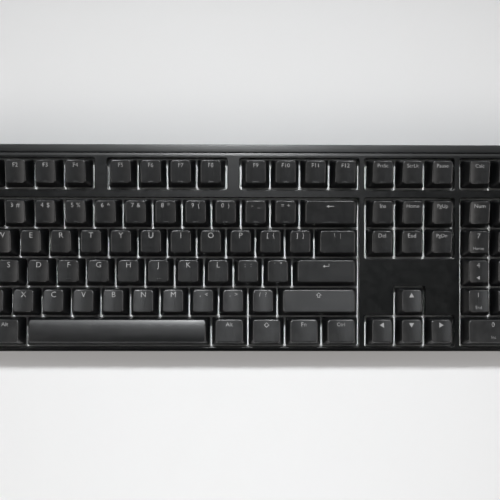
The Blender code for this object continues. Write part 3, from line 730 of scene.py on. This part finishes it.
ICONS = {  # outlines in millimetres
    "up": [[(-1.6, -1.3), (1.6, -1.3), (0, 1.5)]],
    "down": [[(-1.6, 1.3), (0, -1.5), (1.6, 1.3)]],
    "left": [[(1.3, -1.6), (1.3, 1.6), (-1.5, 0)]],
    "right": [[(-1.3, -1.6), (1.5, 0), (-1.3, 1.6)]],
    "back": [[(-2.4, 0), (-0.9, 0.95), (-0.9, 0.2), (2.2, 0.2), (2.2, -0.2), (-0.9, -0.2), (-0.9, -0.95)]],
    "enter": [
        [
            (-2.2, -0.4), (-0.8, 0.5), (-0.8, -0.2), (1.6, -0.2), (1.6, 1.2), (2.0, 1.2), (2.0, -0.6),
            (-0.8, -0.6), (-0.8, -1.3),
        ],
    ],
    "shift": [
        [(0, 1.8), (-1.9, -0.1), (-0.8, -0.1), (-0.8, -1.5), (0.8, -1.5), (0.8, -0.1), (1.9, -0.1)],
        [(0, 1.28), (1.05, 0.22), (0.47, 0.22), (0.47, -1.17), (-0.47, -1.17), (-0.47, 0.22), (-1.05, 0.22)],
    ],
    "meta": [[(0, 1.7), (-1.7, 0), (0, -1.7), (1.7, 0)], [(0, 1.15), (1.15, 0), (0, -1.15), (-1.15, 0)]],
}


def glyph(bm, curve, shape, x, q, scale=1.0):
    """Adds a flat curve to bm as a thin slab that follows the cap's top, its middle at (x, q)."""
    curve.extrude = LEGEND_DEPTH / 2 / scale
    holder = in_scene("glyph", curve)
    mesh = bpy.data.meshes.new_from_object(holder)
    bpy.data.objects.remove(holder)
    for vertex in mesh.vertices:
        side = vertex.co.z * scale
        vertex.co.x = vertex.co.x * scale + x
        vertex.co.y = vertex.co.y * scale + q
        vertex.co.z = shape.top(vertex.co.x, vertex.co.y) + LEGEND_PROUD - LEGEND_DEPTH / 2 + side
    bm.from_mesh(mesh)
    bpy.data.meshes.remove(mesh)


def legend_mesh(key):
    """A key's legend, placed from the top's back edge, and what is under a digit from its front edge."""
    shape = CapShape(key)
    bm = bmesh.new()
    text = key.legend

    def word(letters, size, from_back, x=0):
        glyph(bm, text_curve(letters, size * MM), shape, x, shape.high - from_back * MM)

    if text.startswith("2:"):
        for sign, offset in zip(text[2:], (-1.9 * MM, 1.9 * MM)):
            word(sign, 3.9, 3.1, offset)
    elif text.startswith("d:"):
        word(text[2], 4.2, 3.3)
        small, scale = text_curve(text[3:], 2.8 * MM), 1.0
        if text[3] == "<":
            small, scale = outline_curve(ICONS[text[4:-1]]), 0.75
        glyph(bm, small, shape, 0, shape.low + 3.0 * MM, scale)
    elif text.startswith("<"):
        glyph(bm, outline_curve(ICONS[text[1:-1]]), shape, 0, shape.high - 3.5 * MM)
    elif len(text) == 1:
        word(text, 5.0, 3.3)
    else:
        word(text, 3.7 if len(text) < 4 else 3.3, 3.2)
    bmesh.ops.remove_doubles(bm, verts=bm.verts, dist=0.003 * MM)
    return to_mesh(bm, "legend")


def add_legends():
    for key in KEYS:
        if key.legend:
            piece("legend_" + key.name, legend_mesh(key), "legend", body_of(key), "keycaps", key.place())


# ---- Switches, plate and board ----


def square_ring(half_x, half_q, height, corner=0.4 * MM):
    return centred(half_x, half_q, corner, at_height(height), 2)


def housing_mesh():
    """Switch housing: a lower box through the plate, a flange on it and a tapered shell open for the stem."""
    levels = (  # half width and height in millimetres
        (6.6, -4.9), (6.7, -4.7), (6.7, -0.05), (6.7, 0.25), (7.7, 0.25), (7.8, 0.35), (7.8, 0.95),
        (7.65, 1.1), (7.0, 1.15), (6.95, 1.4), (5.3, 6.2), (4.95, 6.55), (4.8, 6.6),
    )
    rings = [square_ring(half * MM, half * MM, height * MM) for half, height in levels]
    rings += [
        square_ring(3.6 * MM, 3.1 * MM, 6.6 * MM), square_ring(3.5 * MM, 3.0 * MM, 6.4 * MM),
        square_ring(3.5 * MM, 3.0 * MM, -3.2 * MM),
    ]
    lens_x, lens_q, lens_place = 1.3 * MM, 0.8 * MM, Vector((0, 3.95 * MM, 0))
    lens = [
        square_ring(lens_x - inset, lens_q - inset, height)
        for inset, height in ((0, 5.2 * MM), (0, 6.65 * MM), (0.2 * MM, 6.8 * MM))
    ]
    return mesh_of("switch_housing", [rings, moved(lens, lens_place)])


def cross_bars():
    """The cross on a stem that a cap's socket grips."""
    return [
        [
            square_ring((half_x - inset) * MM, (half_q - inset) * MM, height * MM, 0.08 * MM)
            for inset, height in ((0, 6.7), (0, 10.0), (0.12, 10.2))
        ]
        for half_x, half_q in ((2.0, 0.62), (0.6, 2.0))
    ]


def stem_mesh():
    """The sliding stem with the cross that carries the cap."""
    block = [
        square_ring(half_x * MM, half_q * MM, height * MM, 0.3 * MM)
        for half_x, half_q, height in ((3.0, 2.5, 2.0), (3.2, 2.7, 2.3), (3.2, 2.7, 6.6), (2.9, 2.4, 6.9))
    ]
    return mesh_of("switch_stem", [block, *cross_bars()])


def add_switches():
    housing, stem = housing_mesh(), stem_mesh()
    for key in KEYS:
        piece("switch_housing_" + key.name, housing, "housing", "case", "board", key.place())
        piece("switch_stem_" + key.name, stem, "stem", body_of(key), "keycaps", key.place())


def stepped(levels, corner=0.4 * MM):
    """Rings from (half width, front, back, height) in millimetres, in a key's own frame."""
    return [
        rounded(-half * MM, half * MM, low * MM, high * MM, corner, at_height(height * MM), 2)
        for half, low, high, height in levels
    ]


def wire_rings(span):
    """A stabiliser's wire: along the plate in front of the switch, its ends bent back into the housings."""
    bend, end = 1.2 * MM, -6.3 * MM
    left = [Vector((-span, end))]
    for turn in arc(0, 90, 6):
        left.append(Vector((-span + bend - bend * math.cos(turn), WIRE_Q + bend - bend * math.sin(turn))))
    path = left + [Vector((-point.x, point.y)) for point in reversed(left)]
    rings = []
    for before, point, after in zip([path[0], *path], path, [*path[1:], path[-1]]):
        along = (after - before).normalized()
        rings.append([
            Vector((point.x - along.y * u, point.y + along.x * u, WIRE_HEIGHT + v))
            for u, v in circle(WIRE_RADIUS, 12)
        ])
    return rings


def add_stabilisers():
    """Two housings, two sliders and a wire under each key of two units or more."""
    foot = stepped((
        (3.5, -6.7, 6.5, 0.02), (3.6, -6.8, 6.6, 0.2), (3.6, -6.8, 6.6, 1.1), (3.5, -6.7, 6.5, 1.25),
    ))
    tower = stepped(((3.5, -4.9, 4.9, 1.3), (3.4, -4.5, 4.5, 5.2), (3.25, -4.3, 4.3, 5.4)))
    slot = [
        square_ring(half * MM, half * MM, height * MM)
        for half, height in ((3.05, 5.4), (2.95, 5.2), (2.95, 0.6))
    ]
    block = [
        square_ring(half * MM, half * MM, height * MM, 0.3 * MM)
        for half, height in ((2.6, 4.75), (2.7, 4.9), (2.7, 6.6), (2.5, 6.75))
    ]
    for key in KEYS:
        if not key.span():
            continue
        ends = [Vector((sign * key.span(), 0, 0)) for sign in (-1, 1)]
        housings = [moved([*foot, *tower, *slot], end) for end in ends]
        sliders = [moved(body, end) for end in ends for body in (block, *cross_bars())]
        for part, bodies, material, body, slot_name in (
            ("stabiliser_housings", housings, "housing", "case", "board"),
            ("stabiliser_wire", [wire_rings(key.span())], "steel", "case", "board"),
            ("stabiliser_sliders", sliders, "stem", body_of(key), "keycaps"),
        ):
            piece(f"{part}_{key.name}", mesh_of(part, bodies), material, body, slot_name, key.turned())


def add_board():
    side, front, edge = HALF_ACROSS + 1.5 * MM, 0.5 * MM, 0.15 * MM
    levels = (
        (edge, BOARD_UNDER), (0, BOARD_UNDER + edge), (0, BOARD_TOP - edge), (edge, BOARD_TOP - 0.02 * MM),
    )
    rings = [
        rounded(-side + inset, side - inset, front + inset, DECK_DEPTH - inset, 2 * MM, at_height(height), 4)
        for inset, height in levels
    ]
    board = mesh_of("circuit_board", [rings])
    piece("circuit_board", board, "board", "case", "board", DECK, ("circuit_board_and_switches",))
    add_board_parts()


def hanging(x, q, half_x, half_q, deep, sunk=0.1 * MM):
    """A small block under the board, its lower edge chamfered. A negative sunk holds it off the board."""
    edge, corner = 0.12 * MM, 0.1 * MM
    levels = (
        (half_x - edge, half_q - edge, deep), (half_x, half_q, deep - edge), (half_x, half_q, -sunk),
    )
    return [
        rounded(x - hx, x + hx, q - hq, q + hq, corner, at_height(BOARD_UNDER - down), 2)
        for hx, hq, down in levels
    ]


def add_board_parts():
    """What is soldered under the board: a diode and two pins for each switch, the controller and its legs."""
    joint_levels = [
        (radius * MM, BOARD_UNDER + height * MM)
        for radius, height in ((0.25, -0.9), (0.45, -0.6), (0.95, -0.1), (0.95, 0.1))
    ]

    def clear_places(offsets, distance):
        """Places at these offsets from each key's middle that aren't over a post."""
        places = [Vector((key.x + x, key.q + q)) for key in KEYS for x, q in offsets]
        posts = [Vector((x, q)) for x in POST_X for q in POST_Q]
        return [place for place in places if all((place - post).length > distance for post in posts)]

    diodes = [hanging(x, q, 1.3 * MM, 0.75 * MM, 1.0 * MM) for x, q in clear_places([DIODE], 6 * MM)]
    joints = [disc_rings(x, q, joint_levels, 10) for x, q in clear_places(PINS, 5 * MM)]
    legs = []
    half_width, half_length, drop, reach = 0.14 * MM, 0.75 * MM, 0.3 * MM, CHIP_HALF + 0.6 * MM
    for i in range(LEGS_A_SIDE):
        along = (i - (LEGS_A_SIDE - 1) / 2) * LEG_PITCH
        for out in (-reach, reach):
            legs.append(hanging(CHIP_X + along, CHIP_Q + out, half_width, half_length, drop))
            legs.append(hanging(CHIP_X + out, CHIP_Q + along, half_length, half_width, drop))
    chip = hanging(CHIP_X, CHIP_Q, CHIP_HALF, CHIP_HALF, 1.1 * MM, -0.12 * MM)
    for name, bodies, material in (
        ("board_diodes", diodes, "housing"), ("board_solder_joints", joints, "steel"),
        ("controller_chip", [chip], "housing"), ("controller_legs", legs, "steel"),
    ):
        piece(name, mesh_of(name, bodies), material, "case", "board", DECK)


def finish_plate():
    plate = frame["nodes"]["switch_plate"]
    plate.data.materials.clear()
    plate.data.materials.append(MATERIALS["plate"])


# ---- Case ----


def grid_ring(edge, front_edge, radius, place, steps=6):
    """A ring this far outside the keys' grid, with its own distance at the front."""
    back = DECK_DEPTH + edge
    return rounded(-HALF_ACROSS - edge, HALF_ACROSS + edge, -front_edge, back, radius, place, steps)


def add_top_frame():
    """The frame round the keys. Its outer edge is a shallow bevel, and its openings have round edges."""
    profile = (  # way in from the edge and drop from the top in millimetres
        (0.0, FRAME_LIP / MM), (0.0, 0.47), (0.05, 0.30), (0.17, 0.205), (0.35, 0.165), (1.4, 0.055),
        (1.6, 0.025), (1.9, 0.0),
    )
    skirt, skirt_front, skirt_corner, front_scale = 2.6 * MM, 1.75 * MM, 1.5 * MM, 0.35
    rings = [
        grid_ring(skirt, skirt_front, skirt_corner, at_height(height))
        for height in (GAP, FRAME_TOP - FRAME_LIP)
    ]
    for way_in, drop in profile:
        out, front_out = FRAME_EDGE - way_in * MM, FRAME_EDGE_FRONT - way_in * front_scale * MM
        rings.append(grid_ring(out, front_out, (3.2 - way_in * 0.8) * MM, at_height(FRAME_TOP - drop * MM)))
    blank = mesh_of("top_frame", [rings])
    prisms = [
        [
            rounded(
                left * UNIT - HALF_ACROSS - OPENING, right * UNIT - HALF_ACROSS + OPENING,
                front * UNIT - OPENING, back * UNIT + OPENING, OPENING_CORNER, at_height(height), 6,
            )
            for height in (-GAP, FRAME_TOP + 1 * MM)
        ]
        for left, right, front, back in [*OPENINGS, UP_OPENING]
    ]
    cut = carved(blank, [mesh_of("openings", prisms[:-1]), mesh_of("up_opening", prisms[-1:])])

    frame_mesh = softened(cut, mouth_edge(FRAME_TOP), 0.35 * MM)
    piece("top_frame", frame_mesh, "frame", "case", "case", DECK, ("top_case",))


def mouth_edge(height):
    """Picks the sharp edges that lie level at this height, round the mouths of openings."""

    def chosen(edge):
        level = all(abs(vertex.co.z - height) < 0.01 * MM for vertex in edge.verts)
        return level and edge.calc_face_angle() > math.radians(60)

    return chosen


def rim_section():
    """The rim from its outer wall over the edge to its lip, as (way in from 0 to 1, height) pairs."""
    crown, edge_radius, lip_radius = math.radians(6), 0.5 * MM, 0.25 * MM
    width = RIM_EDGE - FRAME_EDGE - GAP
    crown_run = width - edge_radius * (1 - math.sin(crown))
    crown_radius = crown_run / math.sin(crown)
    wall_top = RIM_TOP - crown_radius * (1 - math.cos(crown)) - edge_radius * math.cos(crown)
    edge_steps, crown_steps = 5, 7
    section = [(0.0, RIM_WALL_TOP), (0.0, wall_top - 0.15 * MM)]
    for i in range(edge_steps):
        turn = math.radians(90) + (crown - math.radians(90)) * i / edge_steps
        way_in = edge_radius * (1 - math.sin(turn)) / width
        section.append((way_in, wall_top + edge_radius * math.cos(turn)))
    for i in range(crown_steps + 1):
        turn = crown * (1 - i / crown_steps)
        way_in = 1 - crown_radius * math.sin(turn) / width - lip_radius / width * i / crown_steps
        section.append((way_in, RIM_TOP - crown_radius * (1 - math.cos(turn))))
    section.append((1 - 0.3 * lip_radius / width, RIM_TOP - 0.3 * lip_radius))
    return section


def tub_rings():
    """The bottom case from its base up the outside, over the rim and down the inside to its floor."""
    lip, lip_front = FRAME_EDGE + GAP, FRAME_EDGE_FRONT + GAP
    taper, taper_front, taper_back = 6.0 * MM, 1.2 * MM, 9.0 * MM
    side, back = HALF_ACROSS + RIM_EDGE - taper, DECK_DEPTH + RIM_EDGE - taper_back
    front = -RIM_EDGE_FRONT + taper_front
    corner, lip_corner, wall_corner = 7.0 * MM, 3.0 * MM, 4.0 * MM

    def foot(inset, height):
        place = over_desk(height)
        return rounded(-side + inset, side - inset, front + inset, back - inset, corner - inset / 2, place, 8)

    def shell(out, front_out, height, radius=corner):
        return grid_ring(out, front_out, radius, on_deck(height), 8)

    rings = [
        foot(BASE_EDGE * (1 - math.sin(turn)), BASE_Z + BASE_EDGE * (1 - math.cos(turn)))
        for turn in arc(0, 90, 4)
    ]
    rings += [
        shell(RIM_EDGE - 0.10 * MM, RIM_EDGE_FRONT - 0.02 * MM, WAIST - 0.8 * MM),
        shell(RIM_EDGE, RIM_EDGE_FRONT, WAIST + 0.3 * MM),
    ]
    for way_in, height in rim_section():
        out = RIM_EDGE + (lip - RIM_EDGE) * way_in
        # Above its widest point the front wall stands upright over the desk
        front_edge = RIM_EDGE_FRONT - max(0.0, height - RIM_WALL_TOP) * math.tan(TILT)
        front_out = front_edge + (lip_front - front_edge) * way_in
        rings.append(shell(out, front_out, height, corner + (lip_corner - corner) * way_in))
    wall, wall_front = RIM_EDGE - 2.5 * MM, RIM_EDGE_FRONT - 1.5 * MM
    ledge = FRAME_TOP - FRAME_LIP - GAP
    rings += [
        shell(lip, lip_front, RIM_TOP - 0.25 * MM, lip_corner),
        shell(lip, lip_front, ledge, lip_corner),
        shell(wall, wall_front, ledge - (wall - lip), wall_corner),
        shell(wall, wall_front - 0.1 * MM, WAIST, wall_corner),
        foot(2.5 * MM, FLOOR_Z),
    ]
    return rings


def post_rings(x, q):
    """A post on the case's floor that carries the circuit board, square to it."""
    radius, top = 3.0 * MM, BOARD_UNDER - GAP
    floor = -(DECK.translation.z + q * math.sin(TILT) - FLOOR_Z + 1.0 * MM) / math.cos(TILT)
    levels = (
        (radius + 0.6 * MM, floor), (radius, floor + 2.5 * MM), (radius, top - 0.3 * MM),
        (radius - 0.3 * MM, top),
    )
    return [rounded(x - r, x + r, q - r, q + r, r * ALMOST_ROUND, on_deck(height), 5) for r, height in levels]


def screw_places():
    """Screws through the base, between the feet and pads."""
    columns, rows = (-205, -75, 75, 205), (22, 84)
    return [(x * MM, DECK.translation.y + q * MM) for x in columns for q in rows]


SCREW_SINK = 1.2 * MM
PAD_NODES = [f"rubber_pad_{end}_{side}" for end in ("front", "rear") for side in ("left", "right")]
FEET_X = (HINGES["left_foot_tall"].x, HINGES["right_foot_tall"].x)
LABEL_HALF_X, LABEL_HALF_Y, LABEL_CORNER, LABEL_SINK = 36 * MM, 14 * MM, 2 * MM, 0.25 * MM


def add_base():
    below = BASE_Z - 2 * MM
    joined, cut = [mesh_of("post", [post_rings(x, q)]) for x in POST_X for q in POST_Q], []
    front, back = AXIS_Y - WELL_FRONT, AXIS_Y + WELL_BACK
    half, wall = WELL_HALF + WELL_WALL, 2.5 * MM
    for x in FEET_X:
        joined.append(mesh_of("well_block", [block_rings(
            x - half, x + half, front - NOTCH_DEPTH - wall, back + wall, FLOOR_Z - 1.5 * MM,
            WELL_TOP + 2.0 * MM, 2 * MM, 4,
        )]))
        cut.append(mesh_of("well", [block_rings(x - WELL_HALF, x + WELL_HALF, front, back, below, WELL_TOP)]))
        cut.append(mesh_of("notch", [block_rings(
            x - NOTCH_HALF, x + NOTCH_HALF, front - NOTCH_DEPTH, front + 1.0 * MM, below, WELL_TOP - 0.5 * MM,
            3 * MM, 6,
        )]))
    for node in PAD_NODES:
        low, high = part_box(node)
        cut.append(mesh_of("pad_room", [block_rings(
            low.x - GAP, high.x + GAP, low.y - GAP, high.y + GAP, below, high.z + GAP,
            (high.y - low.y) / 2, 8,
        )]))
    for x, y in screw_places():
        cut.append(mesh_of("screw_hole", [disc_rings(x, y, (
            (3.4 * MM, below), (3.4 * MM, BASE_Z), (3.0 * MM, BASE_Z + 0.4 * MM),
            (3.0 * MM, BASE_Z + SCREW_SINK),
        ))]))
    bed_x, bed_y = LABEL_HALF_X + GAP, LABEL_HALF_Y + GAP
    cut.append(mesh_of("label_bed", [block_rings(
        -bed_x, bed_x, -bed_y, bed_y, below, BASE_Z + LABEL_SINK, LABEL_CORNER, 5,
    )]))
    cut.append(mesh_of("cable_recess", [recess_rings()]))
    shell = mesh_of("bottom_shell", [tub_rings()], 40)
    shell = carved(shell, joined, "UNION")
    shell = carved(shell, cut)
    lugs, bores = [], []
    bore_half, bore_radius = WELL_HALF + PIN_REACH + GAP, PIN_RADIUS + GAP
    for x in FEET_X:
        for sign in (-1, 1):
            lug_x = x + sign * (SHORT_HALF + GAP + LUG_THICK / 2)
            lugs.append(mesh_of("lug", [[
                [Vector((side, y, z)) for y, z in lug_profile()]
                for side in (lug_x - LUG_THICK / 2, lug_x + LUG_THICK / 2)
            ]]))
        bores.append(mesh_of("bore", [rod_rings(x - bore_half, x + bore_half, AXIS_Y, AXIS_Z, bore_radius)]))
    shell = carved(shell, lugs, "UNION")
    shell = carved(shell, bores)
    shell = softened(shell, mouth_edge(BASE_Z), 0.25 * MM, 2, 40)
    piece("bottom_shell", shell, "base", "case", "case", replaced=("bottom_case",))


def lug_profile():
    """A hinge lug seen from the side: round about the hinge below, straight up to the well's roof."""
    radius, roof = 2.2 * MM, WELL_TOP + 1.0 * MM
    turns = arc(180, 180, 10)
    points = [(AXIS_Y + radius * math.cos(turn), AXIS_Z + radius * math.sin(turn)) for turn in turns]
    return [*points, (AXIS_Y + radius, roof), (AXIS_Y - radius, roof)]


def recess_rings():
    """The way through the back wall to the socket."""
    half_wide, half_high, corner, height = 7.0 * MM, 4.5 * MM, 2 * MM, 17.8 * MM
    outside, inside = -DECK.translation.y + 20 * MM, DECK.translation.y + 119 * MM
    return [
        rounded(
            SOCKET_X - half_wide, SOCKET_X + half_wide, height - half_high, height + half_high, corner,
            upright(y), 5,
        )
        for y in (outside, inside)
    ]


def add_screws():
    """Cross-head screws, sunk in the base, heads down."""
    seat = BASE_Z + SCREW_SINK
    levels = (  # from the head's face up to the thread's end
        (1.2 * MM, seat - 1.15 * MM), (2.0 * MM, seat - 1.05 * MM), (2.5 * MM, seat - 0.85 * MM),
        (2.7 * MM, seat - 0.6 * MM), (2.7 * MM, seat - 0.1 * MM), (1.5 * MM, seat - 0.1 * MM),
        (1.5 * MM, seat + 3.7 * MM), (1.2 * MM, seat + 4 * MM),
    )
    head = mesh_of("screw", [disc_rings(0, 0, levels)])
    long, short, bottom, top = 1.4 * MM, 0.3 * MM, BASE_Z - 6 * MM, seat - 0.5 * MM
    slots = [
        mesh_of("slot", [block_rings(-half_x, half_x, -half_y, half_y, bottom, top, 0.1 * MM)])
        for half_x, half_y in ((long, short), (short, long))
    ]
    screw = carved(head, slots)
    screw.shade_smooth()
    screw.set_sharp_from_angle(angle=math.radians(35))
    for i, (x, y) in enumerate(screw_places()):
        piece(f"screw_{i + 1}", screw, "steel", "case", "case", Matrix.Translation((x, y, 0)))


def add_label():
    """A blank grey label with a raised edge."""
    face = BASE_Z + 0.1 * MM
    levels = (
        (0.7 * MM, face + 0.05 * MM), (0.6 * MM, face), (0.1 * MM, face), (0, face + 0.04 * MM),
        (0, BASE_Z + LABEL_SINK - 0.02 * MM),
    )
    rings = [
        centred(LABEL_HALF_X - inset, LABEL_HALF_Y - inset, LABEL_CORNER - inset / 2, at_height(z), 6)
        for inset, z in levels
    ]
    piece("label", mesh_of("label", [rings]), "label", "case", "case")


# ---- Pads, feet and socket ----


def add_pads():
    for node in PAD_NODES:
        low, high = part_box(node)
        middle = (low + high) / 2
        half_x, half_y = (high.x - low.x) / 2, (high.y - low.y) / 2
        tall = high.z - low.z
        levels = (
            (1.5 * MM, 0.12 * MM), (1.3 * MM, 0), (0.5 * MM, 0), (0.2 * MM, 0.12 * MM), (0, 0.4 * MM),
            (0, tall - 0.15 * MM), (0.15 * MM, tall),
        )
        rings = [
            centred(half_x - inset, half_y - inset, (half_y - inset) * ALMOST_ROUND, at_height(height), 10)
            for inset, height in levels
        ]
        place = Matrix.Translation((middle.x, middle.y, low.z))
        piece(node.replace("rubber_", ""), mesh_of("pad", [rings]), "rubber", "case", "pads", place, (node,))


def foot_arm(x_low, x_high, length, half=FOOT_THICK / 2, near=0.0):
    """A flat bar of a foot: X is the hinge axis and the tip points to -Y.

    It is round about the hinge, or starts at the distance near from it.
    """
    profile = [(-length, half), (-length, -half)]
    if near:
        profile += [(-near, -half), (-near, half)]
    else:
        profile += [(half * math.cos(turn), half * math.sin(turn)) for turn in arc(-90, 180, 14)]
    return [[Vector((x, y, z)) for y, z in profile] for x in (x_low, x_high)]


def soft_foot(parts, cuts):
    """Joins a foot's parts, cuts its hollows and rounds its outer edges."""
    joined = carved(parts[0], parts[1:], "UNION") if parts[1:] else parts[0]
    cut = carved(joined, cuts)
    return softened(cut, lambda edge: edge.calc_face_angle() > math.radians(50), 0.22 * MM, 2, 40)


def tip_mesh(half_x, length, thick):
    """The rubber strip on a foot's end."""
    rings = []
    for way_in, inset, inset_z in ((1.0, 1.0, 0.45), (0.35, 1.0, 0.45), (0.1, 1.1, 0.55), (0.02, 1.3, 0.75)):
        half_z = thick / 2 - inset_z * MM
        rings.append(centred(half_x - inset * MM, half_z, half_z * 0.8, upright(-length + way_in * MM), 4))
    return mesh_of("foot_tip", [rings])


def add_feet():
    """Each foot is a short flap in a tall frame, turning on the same axis, with rubber strips at the tips."""
    inner = TALL_HALF - TALL_ARM
    near = SHORT_LENGTH + 1.3 * MM
    tip = 0.5 * MM
    arm_length, arm_half = TALL_LENGTH - 1.5 * MM, FOOT_THICK / 2 - 0.2 * MM
    tall = [mesh_of("bar", [foot_arm(-TALL_HALF, TALL_HALF, TALL_LENGTH - tip, near=near)])]
    for sign in (-1, 1):
        low, high = sorted((sign * inner, sign * TALL_HALF))
        tall.append(mesh_of("arm", [foot_arm(low, high, arm_length, arm_half)]))
        ends = sorted((sign * (TALL_HALF - 2.0 * MM), sign * (TALL_HALF + PIN_REACH)))
        tall.append(mesh_of("pin", [rod_rings(*ends, 0, 0, PIN_RADIUS, 20)]))
    pin_end = SHORT_HALF + PIN_REACH
    short = [
        mesh_of("flap", [foot_arm(-SHORT_HALF, SHORT_HALF, SHORT_LENGTH - tip)]),
        mesh_of("pin", [rod_rings(-pin_end, pin_end, 0, 0, PIN_RADIUS, 20)]),
    ]

    def hollows(middles, half, y_low, y_high):
        """Hollows moulded into the side that faces the case when the feet are folded."""
        floor, top = FOOT_THICK / 2 - 1.6 * MM, FOOT_THICK
        return [
            mesh_of("block", [block_rings(x - half, x + half, y_low, y_high, floor, top, 0.6 * MM, 3)])
            for x in middles
        ]

    tall_cuts = hollows((-24.5 * MM, 24.5 * MM), 4.0 * MM, -9.5 * MM, -3.5 * MM)
    short_cuts = hollows((-11.5 * MM, 0, 11.5 * MM), 4.6 * MM, -8.6 * MM, -3.2 * MM)
    shapes = {
        "tall": (soft_foot(tall, tall_cuts), tip_mesh(TALL_HALF, TALL_LENGTH, FOOT_THICK)),
        "short": (soft_foot(short, short_cuts), tip_mesh(SHORT_HALF, SHORT_LENGTH, FOOT_THICK)),
    }
    for node, hinge in HINGES.items():
        foot, strip = shapes[node.split("_")[-1]]
        place = Matrix.Translation(hinge)
        piece(node.replace("_foot_", "_flip_foot_"), foot, "base", node, "feet", place, (node,))
        piece(node.replace("_foot_", "_foot_tip_"), strip, "rubber", node, "feet", place)


def add_socket():
    """The cable socket: rolled metal shell, tongue with contacts and the black block behind it."""
    depth, wall, soft = SOCKET_DEPTH, 0.35 * MM, 0.1 * MM
    place = DECK @ Matrix.Translation((SOCKET_X, SOCKET_MOUTH_Q - depth, SOCKET_W))

    def across(half_x, half_w, corner, q, steps):
        return centred(half_x, half_w, corner, lambda x, z: Vector((x, q, -z)), steps)

    def oval(inset, q):
        high_half = SOCKET_HALF_HIGH - inset
        return across(SOCKET_HALF - inset, high_half, high_half * ALMOST_ROUND, q, 8)

    shell = [
        oval(soft, 0), oval(0, soft), oval(0, depth - soft), oval(soft, depth), oval(wall - soft, depth),
        oval(wall, depth - soft), oval(wall, 1.0 * MM),
    ]
    piece("socket_shell", mesh_of("socket_shell", [shell]), "steel", "case", "socket", place, ("usb_socket",))
    inner = [oval(wall + 0.05 * MM, q) for q in (1.05 * MM, 2.0 * MM)]
    half_tongue, thick, corner = 3.35 * MM, 0.35 * MM, 0.25 * MM
    tongue = [
        across(half_tongue - inset, thick - inset, corner - inset, q, 3)
        for inset, q in ((0, 1.9 * MM), (0, depth - 1.0 * MM), (0.15 * MM, depth - 0.8 * MM))
    ]
    piece("socket_tongue", mesh_of("socket_tongue", [inner, tongue]), "housing", "case", "socket", place)
    pins, pin_half, pin_pitch, pins_a_side = [], 0.12 * MM, 0.5 * MM, 12
    pin_start, pin_end = 2.1 * MM, depth - 1.4 * MM
    for i in range(pins_a_side):
        x = (i - (pins_a_side - 1) / 2) * pin_pitch
        for side in (-1, 1):
            z_low, z_high = sorted((side * (thick - 0.03 * MM), side * (thick + 0.05 * MM)))
            pins.append(block_rings(x - pin_half, x + pin_half, pin_start, pin_end, z_low, z_high, 0.05 * MM))
    piece("socket_contacts", mesh_of("socket_contacts", pins), "gold", "case", "socket", place)


# ---- Camera, light and floor ----


def add_camera():
    """Above the middle of the keyboard, square to the keys."""
    stand = Matrix.Translation((-3.0 * MM, 60.4 * MM, 447 * MM))
    for degrees, axis in ((0.21, "X"), (-0.56, "Y"), (0.09, "Z")):
        stand = stand @ Matrix.Rotation(math.radians(degrees), 4, axis)
    camera = bpy.data.cameras.new("camera")
    camera.lens = 48.96
    camera.sensor_width = 36
    camera.clip_end = 20
    holder = in_scene("camera", camera)
    holder.matrix_world = DECK @ stand
    bpy.context.scene.camera = holder


KEY_TINT = (0.98, 1.0, 1.02)
FILL_TINT = (1.0, 0.965, 0.94)
ORIGIN = Vector((0, 0, 0))


def area_light(name, location, wide, deep, power, colour, target=ORIGIN, spread=180):
    """A softbox aimed at the target, with a grid that keeps its light within the spread in degrees."""
    light = bpy.data.lights.new(name, "AREA")
    light.shape = "RECTANGLE"
    light.size = wide
    light.size_y = deep
    light.energy = power
    light.color = colour
    light.spread = math.radians(spread)
    turn = (target - location).to_track_quat("-Z", "Y").to_matrix().to_4x4()
    in_scene(name, light).matrix_world = Matrix.Translation(location) @ turn


def add_lights():
    """A small softbox with a grid high behind the keyboard, a panel overhead, a strip above the rear and a
    warm window on each side.
    """
    far, high = 1.0, math.radians(62)
    softbox = Vector((-0.02, far * math.cos(high), far * math.sin(high)))
    in_front = Vector((0, -0.35, 0))
    panel = Vector((0, 0.17, 1.5))
    area_light("back_softbox", softbox, 0.13, 0.12, 2.4, KEY_TINT, target=in_front, spread=80)
    area_light("overhead_panel", panel, 0.4, 0.57, 0.95, KEY_TINT, target=Vector((0, panel.y, 0)))
    area_light("rear_strip", Vector((0, 0.55, 1.25)), 2.0, 0.4, 4.2, KEY_TINT)
    for side, sign in (("left", -1), ("right", 1)):
        area_light(f"{side}_window", Vector((sign * 1.15, -0.5, 0.6)), 1.0, 0.5, 11.0, FILL_TINT)
    world = bpy.context.scene.world or bpy.data.worlds.new("studio")
    bpy.context.scene.world = world
    world.use_nodes = True
    backdrop = world.node_tree.nodes["Background"].inputs
    backdrop["Color"].default_value = (1, 1, 1, 1)
    backdrop["Strength"].default_value = 0.02


def add_floor():
    half = 3.0
    corners = [(x * half, y * half, 0) for x, y in ((-1, -1), (1, -1), (1, 1), (-1, 1))]
    mesh = bpy.data.meshes.new("floor")
    mesh.from_pydata(corners, [], [range(4)])
    paper = Shader("floor_pale", (0.60, 0.60, 0.60), 0.9, specular=0.1)
    paper.bump(paper.noise(1.5 * MM), 0.01 * MM)
    mesh.materials.append(paper.material)
    in_scene("floor", mesh)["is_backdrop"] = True


def write_sizes():
    boxes = {"cad": cad_bounds, "visual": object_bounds()}
    sizes = {name: [list(corner) for corner in box] for name, box in boxes.items()}


add_keycaps()
add_legends()
add_switches()
add_stabilisers()
add_board()
finish_plate()
add_top_frame()
add_base()
add_screws()
add_label()
add_pads()
add_feet()
add_socket()
add_camera()
add_lights()
add_floor()
bpy.context.scene.view_settings.view_transform = "Standard"
write_sizes()
